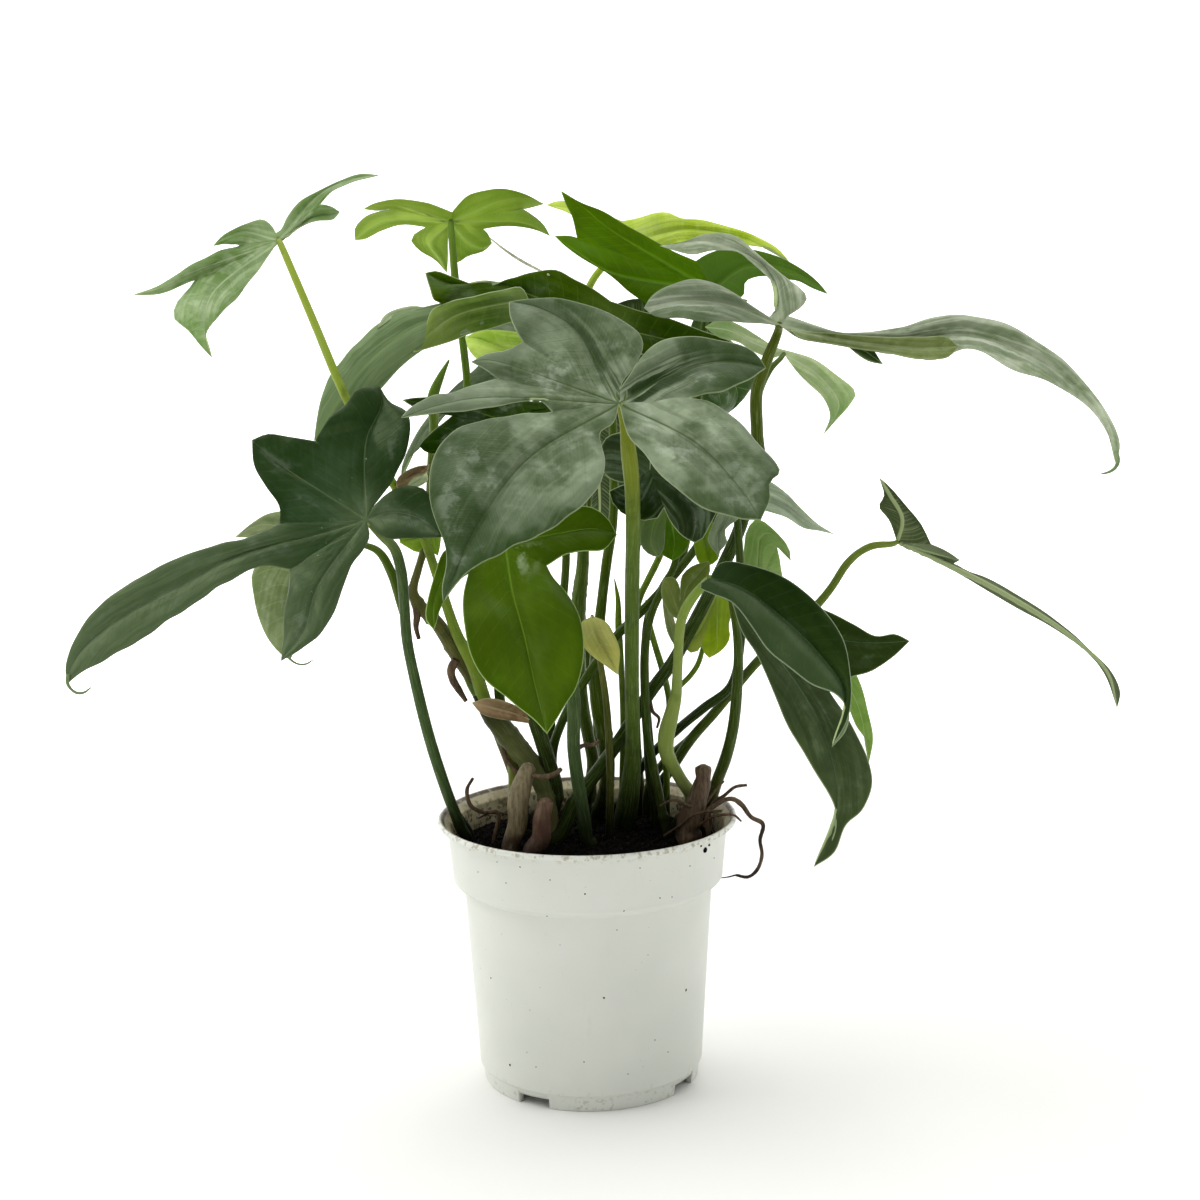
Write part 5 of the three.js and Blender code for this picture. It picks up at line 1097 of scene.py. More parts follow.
def potFinish():
    made, sheet = newFinish("pot_plastic")
    place = sheet.objectPlace()
    x, y, z = sheet.split(place)
    broad = sheet.noise(place, 14, 3)
    scuff = sheet.noise(sheet.vector(x * 3, y * 3, z * 0.6), 60, 5, 0.7)
    fine = sheet.noise(place, 420, 3, 0.6)
    dust = sheet.noise(place, 900, 2)
    tone = sheet.blend(sheet.smooth(broad, 0.3, 0.7), "#d8dad2", "#cfd2c9")
    tone = sheet.blend(sheet.smooth(scuff, 0.6, 0.8) * 0.35, tone, "#bfc2b4")
    rimDirt = sheet.smooth(z, 0.1035, 0.1072) * sheet.smooth(fine, 0.5, 0.62)
    footDirt = (1 - sheet.smooth(z, 0.001, 0.012)) * sheet.smooth(fine, 0.55, 0.68)
    tone = sheet.blend(rimDirt * 0.6, tone, "#8a7a5c")
    fromAxle = sheet.maths("SQRT", (x + shift[0] * mm) ** 2 + (y + shift[1] * mm) ** 2)
    lipDirt = (1 - sheet.smooth(fromAxle, 0.0586, 0.0595)) * sheet.smooth(z, 0.107, 0.1078)
    lipDirt = lipDirt * sheet.smooth(scuff, 0.3, 0.46)
    tone = sheet.blend(lipDirt * 0.95, tone, "#5f4c2e")
    tone = sheet.blend(footDirt * 0.5, tone, "#9a9280")
    tone = sheet.blend(sheet.smooth(dust, 0.74, 0.8) * 0.7, tone, "#6b5a45")
    sheet.show(sheet.surface({
        "Base Color": tone,
        "Roughness": 0.38 + broad * 0.14,
        "Specular IOR Level": 0.45,
        "Subsurface Weight": 0.12,
        "Subsurface Radius": (1.0, 1.0, 0.9),
        "Subsurface Scale": 0.002,
        "Normal": sheet.bump(broad * 0.6 + fine * 0.15, 0.25, 0.0012),
    }))
    return made


def potInsideFinish():
    made, sheet = newFinish("pot_inside")
    place = sheet.objectPlace()
    z = sheet.split(place)[2]
    blotch = sheet.noise(place, 90, 5, 0.65)
    crumb = sheet.noise(place, 480, 3, 0.6)
    tone = sheet.blend(sheet.smooth(blotch, 0.35, 0.7), "#d8ceae", "#b4a988")
    low = 1 - sheet.smooth(z, 0.096, 0.102)
    tone = sheet.blend(low * sheet.smooth(blotch, 0.3, 0.55) * 0.8, tone, "#4c3e24")
    splash = sheet.smooth(crumb * 0.5 + blotch * 0.5, 0.52, 0.56) * (1 - sheet.smooth(z, 0.099, 0.1075))
    tone = sheet.blend(splash * 0.8, tone, "#4a3320")
    tone = sheet.blend(sheet.smooth(crumb, 0.56, 0.62) * (0.3 + low * 0.65), tone, "#2c1d12")
    sheet.show(sheet.surface({
        "Base Color": tone,
        "Roughness": 0.6,
        "Specular IOR Level": 0.3,
        "Normal": sheet.bump(crumb, 0.4, 0.0008),
    }))
    return made


soil = {
    "profile": [[0, 7.8], [43.3, 7.8], [47.6, 77.6], [52.4, 85], [53.8, 95.4]],
    "top": 97.0,
    "edge": 95.6,
    "rings": 46,
    "segments": 150,
    "lump": 1.5,
    "crumbs": 420000.0,  # a square metre
    "crumbSize": 0.0013,
    "seed": 4,
}


def soilHeight(x, y):
    radius = math.hypot(x, y)
    rise = soil["edge"] + (soil["top"] - soil["edge"]) * (1 - smoothStep((radius - 38) / 15))
    waves = math.sin(x * 0.31 + 1.3) * math.sin(y * 0.27 + 0.4) + 0.6 * math.sin(x * 0.71 - y * 0.53)
    waves += 0.4 * math.sin(x * 1.7 + 0.6) * math.sin(y * 1.9 + 2.1)
    return rise + waves * 0.5 * soil["lump"] * min(1, (54 - radius) / 8)


def makeSoil():
    columns = soil["segments"]
    angles = np.linspace(0, 2 * math.pi, columns, endpoint=False)
    points, rows = [], 0
    for radius, height in soil["profile"][1:]:
        points += [[radius * math.cos(a), radius * math.sin(a), height] for a in angles]
        rows += 1
    for i in range(1, soil["rings"]):
        radius = 53.6 * (1 - i / soil["rings"])
        points += [[radius * math.cos(a), radius * math.sin(a),
                    soilHeight(radius * math.cos(a), radius * math.sin(a))] for a in angles]
        rows += 1
    faces = turnedFaces(rows, columns)
    points += [[0, 0, soil["profile"][0][1]], [0, 0, soilHeight(0, 0)]]
    first, last = len(points) - 2, len(points) - 1
    top = (rows - 1) * columns
    for c in range(columns):
        following = (c + 1) % columns
        faces.append([first, following, c])
        faces.append([last, top + c, top + following])
    finish = soilFinish()
    piece = newPiece("soil_bed", fromAxis(points), faces, [finish])
    settle(piece, "potting_soil", "soil")
    upper = [face for face in faces if min(face) >= 5 * columns]
    crumbs = newPiece("soil_crumbs", fromAxis(points), upper, [finish])
    runTree(crumbs, crumbTree(), {
        "Density": soil["crumbs"],
        "Size": soil["crumbSize"],
        "Seed": soil["seed"],
        "Finish": finish,
    })
    settle(crumbs, "potting_soil")
    return piece


def crumbTree():  # lumpy grains scattered over a surface
    tree, sheet, given = newGeometryTree("crumbsOverSurface", [
        ("Surface", "Geometry", "INPUT"),
        ("Density", "Float", "INPUT"),
        ("Size", "Float", "INPUT"),
        ("Seed", "Int", "INPUT"),
        ("Finish", "Material", "INPUT"),
        ("Crumbs", "Geometry", "OUTPUT"),
    ])
    seed = sheet.out(given, "Seed")
    inputs = {"Mesh": sheet.out(given, "Surface"), "Density": sheet.out(given, "Density"), "Seed": seed}
    spots = sheet.made("GeometryNodeDistributePointsOnFaces", None, inputs)
    grain = sheet.made("GeometryNodeMeshIcoSphere", None, {"Radius": 1.0, "Subdivisions": 1})
    settings = {"data_type": "FLOAT_VECTOR"}
    inputs = {0: (0, 0, 0), 1: (6.3, 6.3, 6.3), "Seed": seed}
    turn = sheet.made("FunctionNodeRandomValue", settings, inputs)
    inputs = {0: (0.3, 0.3, 0.25), 1: (1.3, 1.2, 0.9), "Seed": seed}
    sizes = sheet.made("FunctionNodeRandomValue", settings, inputs)
    inputs = {0: sizes, "Scale": sheet.out(given, "Size")}
    scaled = sheet.node("ShaderNodeVectorMath", {"operation": "SCALE"}, inputs)
    inputs = {"Points": spots, "Instance": grain, "Rotation": turn, "Scale": sheet.out(scaled)}
    grains = sheet.made("GeometryNodeInstanceOnPoints", None, inputs)
    grains = sheet.made("GeometryNodeRealizeInstances", None, {0: grains})
    inputs = {0: grains, "Material": sheet.out(given, "Finish")}
    grains = sheet.made("GeometryNodeSetMaterial", None, inputs)
    sheet.node("NodeGroupOutput", None, {"Crumbs": grains})
    return tree


def soilFinish():
    made, sheet = newFinish("potting_soil")
    place = sheet.objectPlace()
    patch = sheet.noise(place, 160, 4, 0.6)
    grain = sheet.noise(place, 900, 4, 0.7)
    tone = sheet.blend(sheet.smooth(patch, 0.35, 0.7), "#050403", "#120d08")
    tone = sheet.blend(sheet.smooth(grain, 0.62, 0.74) * 0.5, tone, "#2c2118")
    sheet.show(sheet.surface({
        "Base Color": tone,
        "Roughness": 0.9,
        "Specular IOR Level": 0.08,
        "Normal": sheet.bump(grain, 0.8, 0.0008),
    }))
    return made


# Small parts that the solid model goes without. Their marks are landmarks with a radius each.
bits = {
    "roots": {
        "pegLeft": "415,603,3,1.7 417,616,3,1.5 416,627,3,1.1 419,639,3,0.8",
        "pegLow": "456,660,8,1.8 451,670,8,1.8 453,680,9,1.6 459,690,10,1.3 466,701,11,0.9",
        "hook": "503,744,6,1 505,757,4,1 513,768,2,1 523,776,1,0.9 529,784,1,0.8",
        "collar": "530,775,-7,0.9 536,776,-11,0.9 545,777,-13,1.1 555,774,-13,1.1 561,769,-11,0.9",
        "twigMiddle": "576,749,-13,0.9 585,745,-12,0.9 592,745,-12,0.8 600,741,-12,0.6",
        "twigBack": "650,700,10,0.7 653,712,9,0.8 659,718,8,0.7 657,728,8,0.5",
        "wispA": "664,836,-2,0.5 682,824,-7,0.6 690,817,-9,0.6 704,812,-11,0.6 722,811,-12,0.5",
        "wispB": "694,828,-6,0.5 716,816,-13,0.5 733,815,-14,0.5 741,821,-10,0.4",
        "wispC": "703,808,-3,0.5 714,792,1,0.5 724,781,3,0.4",
        "wispD": "660,806,-5,0.5 674,800,-7,0.6 690,806,-7,0.6 699,806,-5,0.5",
        "wispE": "478,818,10,0.5 492,812,9,0.6 506,814,9,0.5 520,817,9,0.5",
        "drip": "736,875,-2,0.4 728,877,-2,0.3 720,878,-2,0.2",
    },
    # drawn-out leaf tips: a name, a tone and the marks
    "curlTones": {"grey": "#6c7e5a", "dry": "#b0ad9a"},
    "curls": [
        ("09", "grey",
         "68,674,-61,0.8 67.5,683,-62,0.7 71,689,-62,0.55 77,693,-62,0.55 84,692.5,-62,0.5 "
         "91,687.5,-62,0.25"),
        ("10", "grey",
         "286,654,-13,0.6 291,660,-14,0.5 298,664,-14,0.4 306,664,-14,0.4 313,660,-14,0.2"),
        ("05", "grey",
         "1116,452,-75,0.9 1118,461,-78,0.8 1115,468,-79,0.65 1109,472,-79,0.5 1101,474,-79,0.25"),
        ("07", "dry", "490,238,66,0.3 505,250,54,0.55 520,260,43,0.65 535,268,32,0.55 549,275,21,0.4"),
    ],
    "crownLook": {"foot": "#3a3a1c", "middle": "#505634", "top": "#66603c", "dark": "#2c2c16",
                  "pale": "#8a8a5c"},
    "crownRings": [[0.3, 0.6, 0.8], [0.5, 0.6, 0.7], [0.72, 0.5, 0.8]],
    "thinStalks": {
        "bright": "630,824,30,1.2 630,790,30,1.2 631,700,24,1.3 633,630,18,1.3 640,597,14,1.4 "
            "648,580,12,1.4 657,562,10,1.4 664,545,8,1.3 668,530,6,1",

            "pale": "667,824,30,1.2 667,800,30,1.2 668,740,24,1.2 669,700,20,1.3 662,668,16,1.4 "
            "655,645,14,1.3 649,622,12,1.2 647,600,12,0.8",

            "spike": "622,827,26,1.2 622,790,26,1.2 623,720,20,1.2 621,665,14,1.3 618.5,625,10,1.4 "
            "618,600,9,1 614.5,579,8,0.25",
    },
    "crown": "478,694,8,2.4 488,710,7,3.6 501,727,5,4.6 515,744,4,4.6 529,762,3,4.2 541,782,3,3.8 "
        "548,806,2,3.4 552,830,2,3.2 554,844,2,3.2",
    # specks of dirt on the pot: across, down, and the size in mm
    "specks": "705,850,2.4 709,845,1.5 701,846,1 578,853,1.3 586,855,1.6 596,854,1 569,852,0.8 "
        "510,1065,0.9 491,978,0.7 686,990,1 604,998,0.9 547,916,0.7 624,911,0.6 660,898,0.6 "
        "672,897,0.5 550,880,0.6 585,894,0.6 506,883,0.5 536,1067,0.6 584,1062,0.5 497,862,0.5 "
        "520,867,0.6 640,868,0.5 690,866,0.6 714,858,0.7 470,850,0.5 478,872,0.6 655,1040,0.5 "
        "668,1052,0.5 628,1074,0.5 560,945,0.4 530,1010,0.4 648,955,0.4 617,930,0.4",
    # water drops on leaf 09, in the same way
    "drops": "366,459,1.1 330,520,0.8 322,528,0.7 318,556,0.9 326,543,0.6 312,592,0.8 306,606,0.7 "
        "340,500,0.6 336,512,0.5 300,575,0.5 352,478,0.5",
    "seed": 12,
}


def makeBeads(name, owner, marks, flatness, finish, slot):  # small lumps where view rays meet a piece
    mesh = owner.data
    tree = BVHTree.FromPolygons([v.co for v in mesh.vertices], [p.vertices for p in mesh.polygons])
    rng = random.Random(bits["seed"])
    start = Vector((eye - shift) * mm)
    shape = bmesh.new()
    for across, down, size in marksOf(marks):
        ray = Vector(viewRay([across, down, 0.0]))
        spot, normal, _, _ = tree.ray_cast(start, ray.normalized())
        if spot is None:
            continue
        if normal.dot(ray) > 0:
            normal = -normal
        wide, deep = size * rng.uniform(0.7, 1.2), size * rng.uniform(0.7, 1.2)
        stretch = Matrix.Diagonal((wide, deep, size * flatness, 1 / mm))
        turn = normal.to_track_quat("Z", "Y").to_matrix().to_4x4()
        turn = turn @ Matrix.Rotation(rng.uniform(0, 6.3), 4, "Z")
        place = Matrix.Translation(spot) @ turn @ (stretch * mm)
        bmesh.ops.create_icosphere(shape, subdivisions=3, radius=0.5, matrix=place)
    made = bpy.data.meshes.new(name)
    shape.to_mesh(made)
    shape.free()
    made.shade_smooth()
    made.materials.append(finish)
    settle(newObject(name, made), slot)


def dropFinish():
    made, sheet = newFinish("water_drop")
    tone = sheet.blend(sheet.noise(sheet.objectPlace(), 300, 2), "#2c4420", "#566a48")
    sheet.show(sheet.surface({"Base Color": tone, "Roughness": 0.04, "Specular IOR Level": 0.7}))
    return made


leafLooks = {
    "01": {"deep": "#688842", "light": "#b0c296", "rib": "#c0d0a4", "bloomAndSheen": 0.5, "veins": 0.15,
        "shadedFurrows": 0.4, "edgeTone": 0.5, "edgeColour": "#557a30", "edgeReach": 5},
    "02": {"deep": "#8ba838", "light": "#a8be57", "under": "#99b63e", "underLight": "#b6ce5a",
        "showsUnderside": True, "glow": 0.3, "rib": "#cbe08c", "underVein": "#a6c25c", "shadedFurrows": 0.5,
        "veins": 0.15, "edgeTone": 0.55, "edgeColour": "#64841c", "furrowShadeColour": "#7c9c2c"},
    "03": {"deep": "#2c4602", "light": "#42590a", "rib": "#86a04e", "rough": 0.34,
        "lobeShades": [0.9, 0, -0.45], "shadeLight": "#869a72", "shadeDark": "#122402", "bloomAndSheen": 0.12,
        "marginShow": 0.6, "shine": "#88b030", "gloss": 0.18, "shadedFurrows": 0.35, "veins": 0.12},
    "04": {"deep": "#5c6a4c", "light": "#a8b598", "rib": "#3e5228", "bloomAndSheen": 0.38,
        "bloomAndSheenColour": "#c0ccb8", "streaks": 0.15, "rough": 0.36, "valleyShadeColour": "#1d3014",
        "valleyShade": [0.12, 0.15, 0.2, 0.75, 1.0, 0.3], "joinGlow": 0.45, "ribShow": 0.7, "tipTone": 0.45,
        "tipColour": "#1c3606", "veins": 0.08, "marginShow": 0.45,
        "lobeShades": [-0.75, 0.2, 0.0, -0.35, -0.5, -0.15], "shadeDark": "#26401a", "shadedFurrows": 0.15,
        "furrowShadeColour": "#2c3e24", "shadeLight": "#98a68a", "drawn": 0.2, "edgeTone": 0.35,
        "edgeReach": 9, "edgeColour": "#3c5030", "spots": 0.2, "gloss": 0.2, "shadeBy": 0.75},
    "05": {"deep": "#6e7e5b", "light": "#dbe0cb", "rib": "#aab494", "bloomAndSheen": 0.15, "shadedFurrows": 0.45,
        "furrowShadeColour": "#4c6038", "veins": 0.1, "marginShow": 0.1, "drawn": 0.9, "spots": 0.15,
        "lobeShades": [-0.5, 0, 0], "shadeDark": "#3c4e34"},
    "06": {"deep": "#486600", "light": "#567a00", "under": "#4c6c02", "underLight": "#5a8206",
        "showsUnderside": True, "rib": "#6a941c", "underVein": "#6f9a28", "lobeShades": [0, 0, 0.9],
        "shadeLight": "#56782c", "shine": "#88b030", "gloss": 0.12, "furrowShadeColour": "#34521a",
        "ridgeLightColour": "#a0b08c", "spots": 0.2, "litRidges": 0.25, "veins": 0.06},
    "07": {"deep": "#c4de34", "light": "#ecfc78", "rib": "#e2f08e", "glow": 0.35, "shadedFurrows": 0.3,
        "furrowShadeColour": "#a4c02e"},
    "08": {"deep": "#a4c278", "light": "#e0eac0", "rib": "#e0ecc4", "bloomAndSheen": 0.4, "shadedFurrows": 0.4,
        "veins": 0.15, "tipTone": 0.6, "tipColour": "#5c8a34"},
    "09": {"deep": "#1d3414", "light": "#354b32", "rib": "#80926a", "bloomAndSheen": 0.15, "rough": 0.32,
        "lobeShades": [0.45, 0.75, 0, -0.1, -0.25], "shadeLight": "#647454", "ribShow": 0.25,
        "veins": 0.04, "shadeBy": 0.45, "marginShow": 0.05, "edgeTone": 0.3, "edgeColour": "#16260c",
        "spots": 0.2},
    "10": {"deep": "#708050", "light": "#9ea880", "rib": "#bccb98", "veins": 0.2, "shadedFurrows": 0.5},
    "11": {"deep": "#475f0e", "light": "#587612", "rib": "#86ac3c", "bloomAndSheen": 0, "rough": 0.32,
        "glow": 0.3, "glowColour": "#6aa000", "margin": "#b4cc80", "marginShow": 0.8, "bump": 0.4,
        "veins": 0.06, "streaks": 0.15, "lobeShades": [-0.3, 0, 0], "valleyShade": [0.1, 0.1, 0.1],
        "shine": "#9cc040", "shadeDark": "#1c3400", "joinSheen": 0.85, "bloomAndSheenColour": "#c0d0a8",
        "shadedFurrows": 0.1, "spots": 0.0, "edgeTone": 0.4, "edgeColour": "#345004", "edgeReach": 5,
        "joinGlow": 0.1, "gloss": 0.22},
    "12": {"deep": "#081c00", "light": "#142e02", "rib": "#56704a", "bloomAndSheen": 0.12, "rough": 0.3,
        "margin": "#9aaa8a", "marginShow": 0.8, "bloomAndSheenColour": "#7c8c70", "shine": "#9cc040",
        "firstSideLight": 0.6, "secondSideLight": 0.1, "sideLightColour": "#485a3c", "veins": 0.12, "shadedFurrows": 0.5,
        "furrowShadeColour": "#0c1e04", "edgeTone": 0.3, "gloss": 0.2},
    "13": {"deep": "#283313", "light": "#3c4a23", "rib": "#60785a", "rough": 0.32, "marginShow": 0.6,
        "lobeShades": [0.1, -0.6], "shadeDark": "#172c06", "bloomAndSheenColour": "#7c8c70", "veins": 0.12,
        "shadedFurrows": 0.4, "gloss": 0.25},
    "14": {"deep": "#263210", "light": "#404e27", "under": "#2b3716", "underLight": "#4a5834",
        "showsUnderside": True, "rib": "#bccaa6", "lobeShades": [0.1, 0.4, 0.2],
        "shadeLight": "#a4b08e", "veins": 0.2, "shadedFurrows": 0.6},
    "15": {"deep": "#111c09", "light": "#313e23", "rib": "#4c6044", "veins": 0.2, "rough": 0.35,
        "gloss": 0.2, "shine": "#9cc040", "ribShow": 0.3, "shadedFurrows": 0.5, "furrowShadeColour": "#060e02",
        "lobeShades": [0.5, -0.8, 0.15], "shadeLight": "#56664a", "shadeDark": "#0f2002",
        "litRidges": 0.75, "ridgeLightColour": "#62725a", "marginShow": 0.7},
    "16": {"deep": "#86987a", "light": "#c4cfb8", "rib": "#bcc6ac", "bloomAndSheen": 0.4,
        "lobeShades": [-0.7, 0, 0, 0], "shadeDark": "#46562a", "shadedFurrows": 0.5, "veins": 0.15},
    "17": {"deep": "#3a5c08", "light": "#547a14", "rib": "#8ab040", "glow": 0.25,
        "lobeShades": [0.85, 0, -0.85], "shadeLight": "#6e7e58", "shadeDark": "#7f9c1c",
        "shine": "#9cc040", "veins": 0.12, "gloss": 0.15},
    "18": {"deep": "#94ae19", "light": "#bfd62f", "rib": "#c0d470", "glow": 0.35,
        "lobeShades": [0.7, 0], "shadeLight": "#a8ae60", "veins": 0.12},
    "19": {"deep": "#bcba5c", "light": "#d8d47a", "rib": "#dedca0", "glow": 0.3},
    "20": {"deep": "#a0c83c", "light": "#d8ee78", "rib": "#cce080", "glow": 0.3},
    "21": {"deep": "#0c2200", "light": "#163000", "rib": "#6c9430", "lobeShades": [0, -0.5, -0.75],
        "shadeDark": "#24301a", "shine": "#9cc040", "veins": 0.12, "spots": 0.2, "gloss": 0.2},
    "22": {"deep": "#223e0c", "light": "#2e5012", "under": "#4f7a2c", "underLight": "#6a9044"},
    "23": {"deep": "#586650", "light": "#7a876e", "rib": "#8c987c"},
    "24": {"deep": "#1c2e0c", "light": "#28400e", "under": "#26360e", "underLight": "#34460f",
        "showsUnderside": True},
    "25": {"deep": "#7ca046", "light": "#a4c070", "rib": "#c0d494", "glow": 0.35,
        "glowColour": "#9cc040", "veins": 0.1, "lobeShades": [0.3, 0.3, 0], "shadeLight": "#b0c694"},
    "26": {"deep": "#485619", "light": "#66742e", "rib": "#8c9858", "glow": 0.25,
        "lobeShades": [0.25, -0.25], "shadeLight": "#8c9658", "shadeDark": "#2c3a0c"},
}
# Papery sheaths and scales, laid out like the leaves.
sheaths = [
    {"id": "torn", "join": [472, 703, -8], "lean": [0.0, -0.3], "tone": "dry", "lobes": [
        {"to": "486,698 504,701 522,709", "tip": [541, 724, 2], "back": "520,722 500,719 482,714",
         "fold": 0.6}]},
    {"id": "scale", "join": [484, 712, 12], "lean": [0.0, 0.2], "tone": "dry", "lobes": [
        {"to": "470,692 458,662", "tip": [449, 621, -3], "back": "462,646 474,670 486,700",
         "fold": -0.5}]},
    {"id": "brown", "join": [396, 487, -7.5], "lean": [0.0, 0.3], "tone": "dry", "lobes": [
        {"to": "398,478 406,471 418,466", "tip": [430, 465, 2], "back": "426,473 412,479 404,489",
         "fold": -0.5}]},
    {"id": "cream", "join": [400, 489, -5], "lean": [0.0, 0.3], "tone": "dry", "lobes": [
        {"to": "411,476", "tip": [426, 471, 2], "back": "428,480 418,487", "fold": -0.2}]},
    # lobes that fold over another one
    {"id": "strip", "join": [676, 648, -26], "lean": [0.0, 0.0], "tone": "dry", "lobes": [
        {"to": "668,634 664,616", "tip": [662, 597, 0], "back": "671,610 676,628", "fold": -0.2}]},
    {"id": "flap", "join": [790, 330, -24.5], "lean": [0.05, 0.8], "tone": "dry", "lobes": [
        {"to": "840,334 880,337 920,337 946,337", "tip": [959, 347, -11],
         "back": "948,357 925,359 900,356 865,350 830,344 800,338", "fold": -0.3}]},
    {"id": "under", "join": [840, 338, -26], "lean": [0.05, 0.8], "tone": "dry", "lobes": [
        {"to": "852,340 866,342", "tip": [883, 364, 0], "back": "872,362 862,357 850,348",
         "fold": -0.2}]},
    {"id": "pleat", "join": [622, 405, -62], "lean": [0.0, 0.8], "tone": "dry", "lobes": [
        {"to": "615,396", "tip": [618, 384, 0], "back": "626,388 627,397", "fold": -0.4}]},
    {"id": "fold", "join": [529, 300, 18.3], "lean": [0.04, 0.2], "tone": "dry", "lobes": [
        {"to": "521,287 497,291 472,297 449,302 433,309 428,320 424,336", "tip": [412, 353, 1.6],
         "back": "440,345 455,340 470,334 490,329 508,323 522,318", "rib": "496,305 460,314 436,328",
         "fold": 0.2}]},
    {"id": "sliver", "join": [436, 309, 20], "lean": [0.0, 0.4], "tone": "dry", "lobes": [
        {"to": "415,312 397,316", "tip": [377, 329, 0], "back": "384,316 397,309 413,306",
         "fold": 0.1}]},
    {"id": "lime", "join": [428, 522, 4], "lean": [0.1, 0.2], "tone": "dry", "lobes": [
        {"to": "408,526 399,535", "tip": [400, 543, -2], "back": "410,549 418,553 424,545",
         "gap": [428, 540], "fold": -0.2},
        {"to": "430,550", "tip": [438, 556, -2], "back": "441,540 440,526", "fold": -0.2}]},
]
sheathLooks = {
    "strip": {"deep": "#74784a", "light": "#9a9c70", "glow": 0.3},
    "flap": {"deep": "#4e5c28", "light": "#7e8a54", "rib": "#9aa678", "bloomAndSheen": 0.2, "streaks": 0.5,
        "shadedFurrows": 0.5},
    "under": {"deep": "#1c300e", "light": "#2a4018"},
    "fold": {"deep": "#42601a", "light": "#6c8638", "rib": "#a8b878", "shadedFurrows": 0.6, "marginShow": 0.8,
        "tipTone": 0.6, "tipColour": "#84964c", "veins": 0.08, "ribShow": 0.5},
    "sliver": {"deep": "#93a878", "light": "#c0ccaa"},
    "pleat": {"deep": "#16240e", "light": "#2a3c1e"},
    "lime": {"deep": "#8cac20", "light": "#b0cc44", "glow": 0.35},
    "torn": {"deep": "#6a5234", "light": "#a08464", "rib": "#b09878", "streaks": 0.8, "rough": 0.6,
        "glow": 0.1},
    "scale": {"deep": "#7f9648", "light": "#a4b874", "rib": "#c0d090", "marginShow": 0.9,
        "margin": "#c8d8a0"},
    "brown": {"deep": "#4c3a28", "light": "#7c664c", "rib": "#8a7458", "streaks": 0.8, "rough": 0.6,
        "glow": 0.05},
    "cream": {"deep": "#b4bc94", "light": "#d4d8bc", "rib": "#dce0c8", "rough": 0.5},
}
for leaf in leaves:
    makeLeaf(leaf, leafLooks[leaf["id"]])
for leaf in sheaths:
    makeLeaf(leaf, sheathLooks[leaf["id"]])
print("leaves made")

plainStalk = {"foot": "#262e0e", "middle": "#34460c", "top": "#44560e"}
stalkLooks = {
    "petiole_01": {"foot": "#6a6a34", "middle": "#6c8028", "top": "#8c9c36", "topStart": 0.45},
    "petiole_02": {"foot": "#34460c", "middle": "#3a5206", "top": "#5a7620"},
    "petiole_03": {"foot": "#2c300c", "middle": "#3c4e08", "top": "#44580e"},
    "petiole_04": {"foot": "#22300e", "middle": "#4c6024", "top": "#7a8222", "topStart": 0.66},
    "petiole_05": {"foot": "#1e2c0a", "middle": "#22320c", "top": "#465010", "topStart": 0.62},
    "petiole_06": {"foot": "#2a2e12", "middle": "#2c3e08", "top": "#34480c"},
    "petiole_07": {"foot": "#3a4416", "middle": "#42541c", "top": "#9ab030", "topStart": 0.7},
    "petiole_08": {"foot": "#26380a", "middle": "#2c4006", "top": "#3a4e0a"},
    "petiole_09": {"foot": "#22341a", "middle": "#344828", "top": "#7c8a50", "topStart": 0.82},
    "petiole_11": {"foot": "#2e3e24", "middle": "#36482a", "top": "#3c5a1c"},
    "petiole_12": {"foot": "#74765a", "middle": "#7a8a44", "top": "#6c8430", "pale": "#98a868",
        "dark": "#4c6024"},
    "petiole_13": {"foot": "#62622c", "middle": "#2c3c08", "top": "#38480c", "footReach": 0.35},
    "petiole_14": {"foot": "#303c0e", "middle": "#3e4e14", "top": "#66762a", "topStart": 0.5},
    "petiole_16": {"foot": "#182608", "middle": "#1c2c06", "top": "#2c3c0c"},
    "petiole_17": {"foot": "#282c12", "middle": "#2c3e08", "top": "#34480c"},
    "petiole_18": {"foot": "#44580c", "middle": "#5a7018", "top": "#6a8420"},
    "petiole_19": {"foot": "#34340f", "middle": "#44461a", "top": "#84843c"},
    "petiole_21": {"foot": "#1c240e", "middle": "#24300e", "top": "#2c3c0e"},
    "petiole_25": {"foot": "#2c3c0c", "middle": "#344410", "top": "#4a5c18"},
    "shoot": {"foot": "#5c5430", "middle": "#54502c", "top": "#506c18", "footReach": 0.3,
        "topStart": 0.66},
}
rootLook = {"dark": "#3a2a1c", "light": "#6a563e", "patch": "#2e2014", "ripple": 0.6, "bump": 0.6}
stubLooks = {
    "stub_left": {"dark": "#5a5038", "light": "#8a7e60", "patch": "#4a2c20", "patchTop": 0.112,
        "ripple": 0.16},
    "stub_middle": {"dark": "#4e3a2c", "light": "#78604c", "patch": "#5c3c32", "patchTop": 0.13,
        "ripple": 0.16},
    "stub_right": {"dark": "#3a2e20", "light": "#6c5a44", "patch": "#44291e", "patchTop": 0.14,
        "ripple": 0.55, "grain": 0.6, "bump": 0.6},
}
stalkRings = {
    "petiole_07": [[0.36, 0.35, 0.5], [0.38, 0.3, 0.4], [0.4, 0.4, 0.5], [0.43, 0.3, 0.4],
                   [0.46, 0.45, 0.6]],
    "petiole_03": [[0.05, 0.7, 1.0], [0.11, 0.5, 0.8], [0.22, 0.5, 0.8]],
    "petiole_12": [[0.06, 0.8, 0.9], [0.13, 0.7, 0.7], [0.3, 0.3, 0.8]],
    "petiole_21": [[0.12, 0.6, 0.9]],
    "petiole_17": [[0.08, 0.7, 0.9]],
    "shoot": [[0.3, 0.5, 0.8], [0.42, 0.6, 0.8], [0.49, 0.9, 1.0], [0.53, 0.5, 0.7]],
}
joins = {"petiole_" + leaf["id"]: leaf["join"] for leaf in leaves}
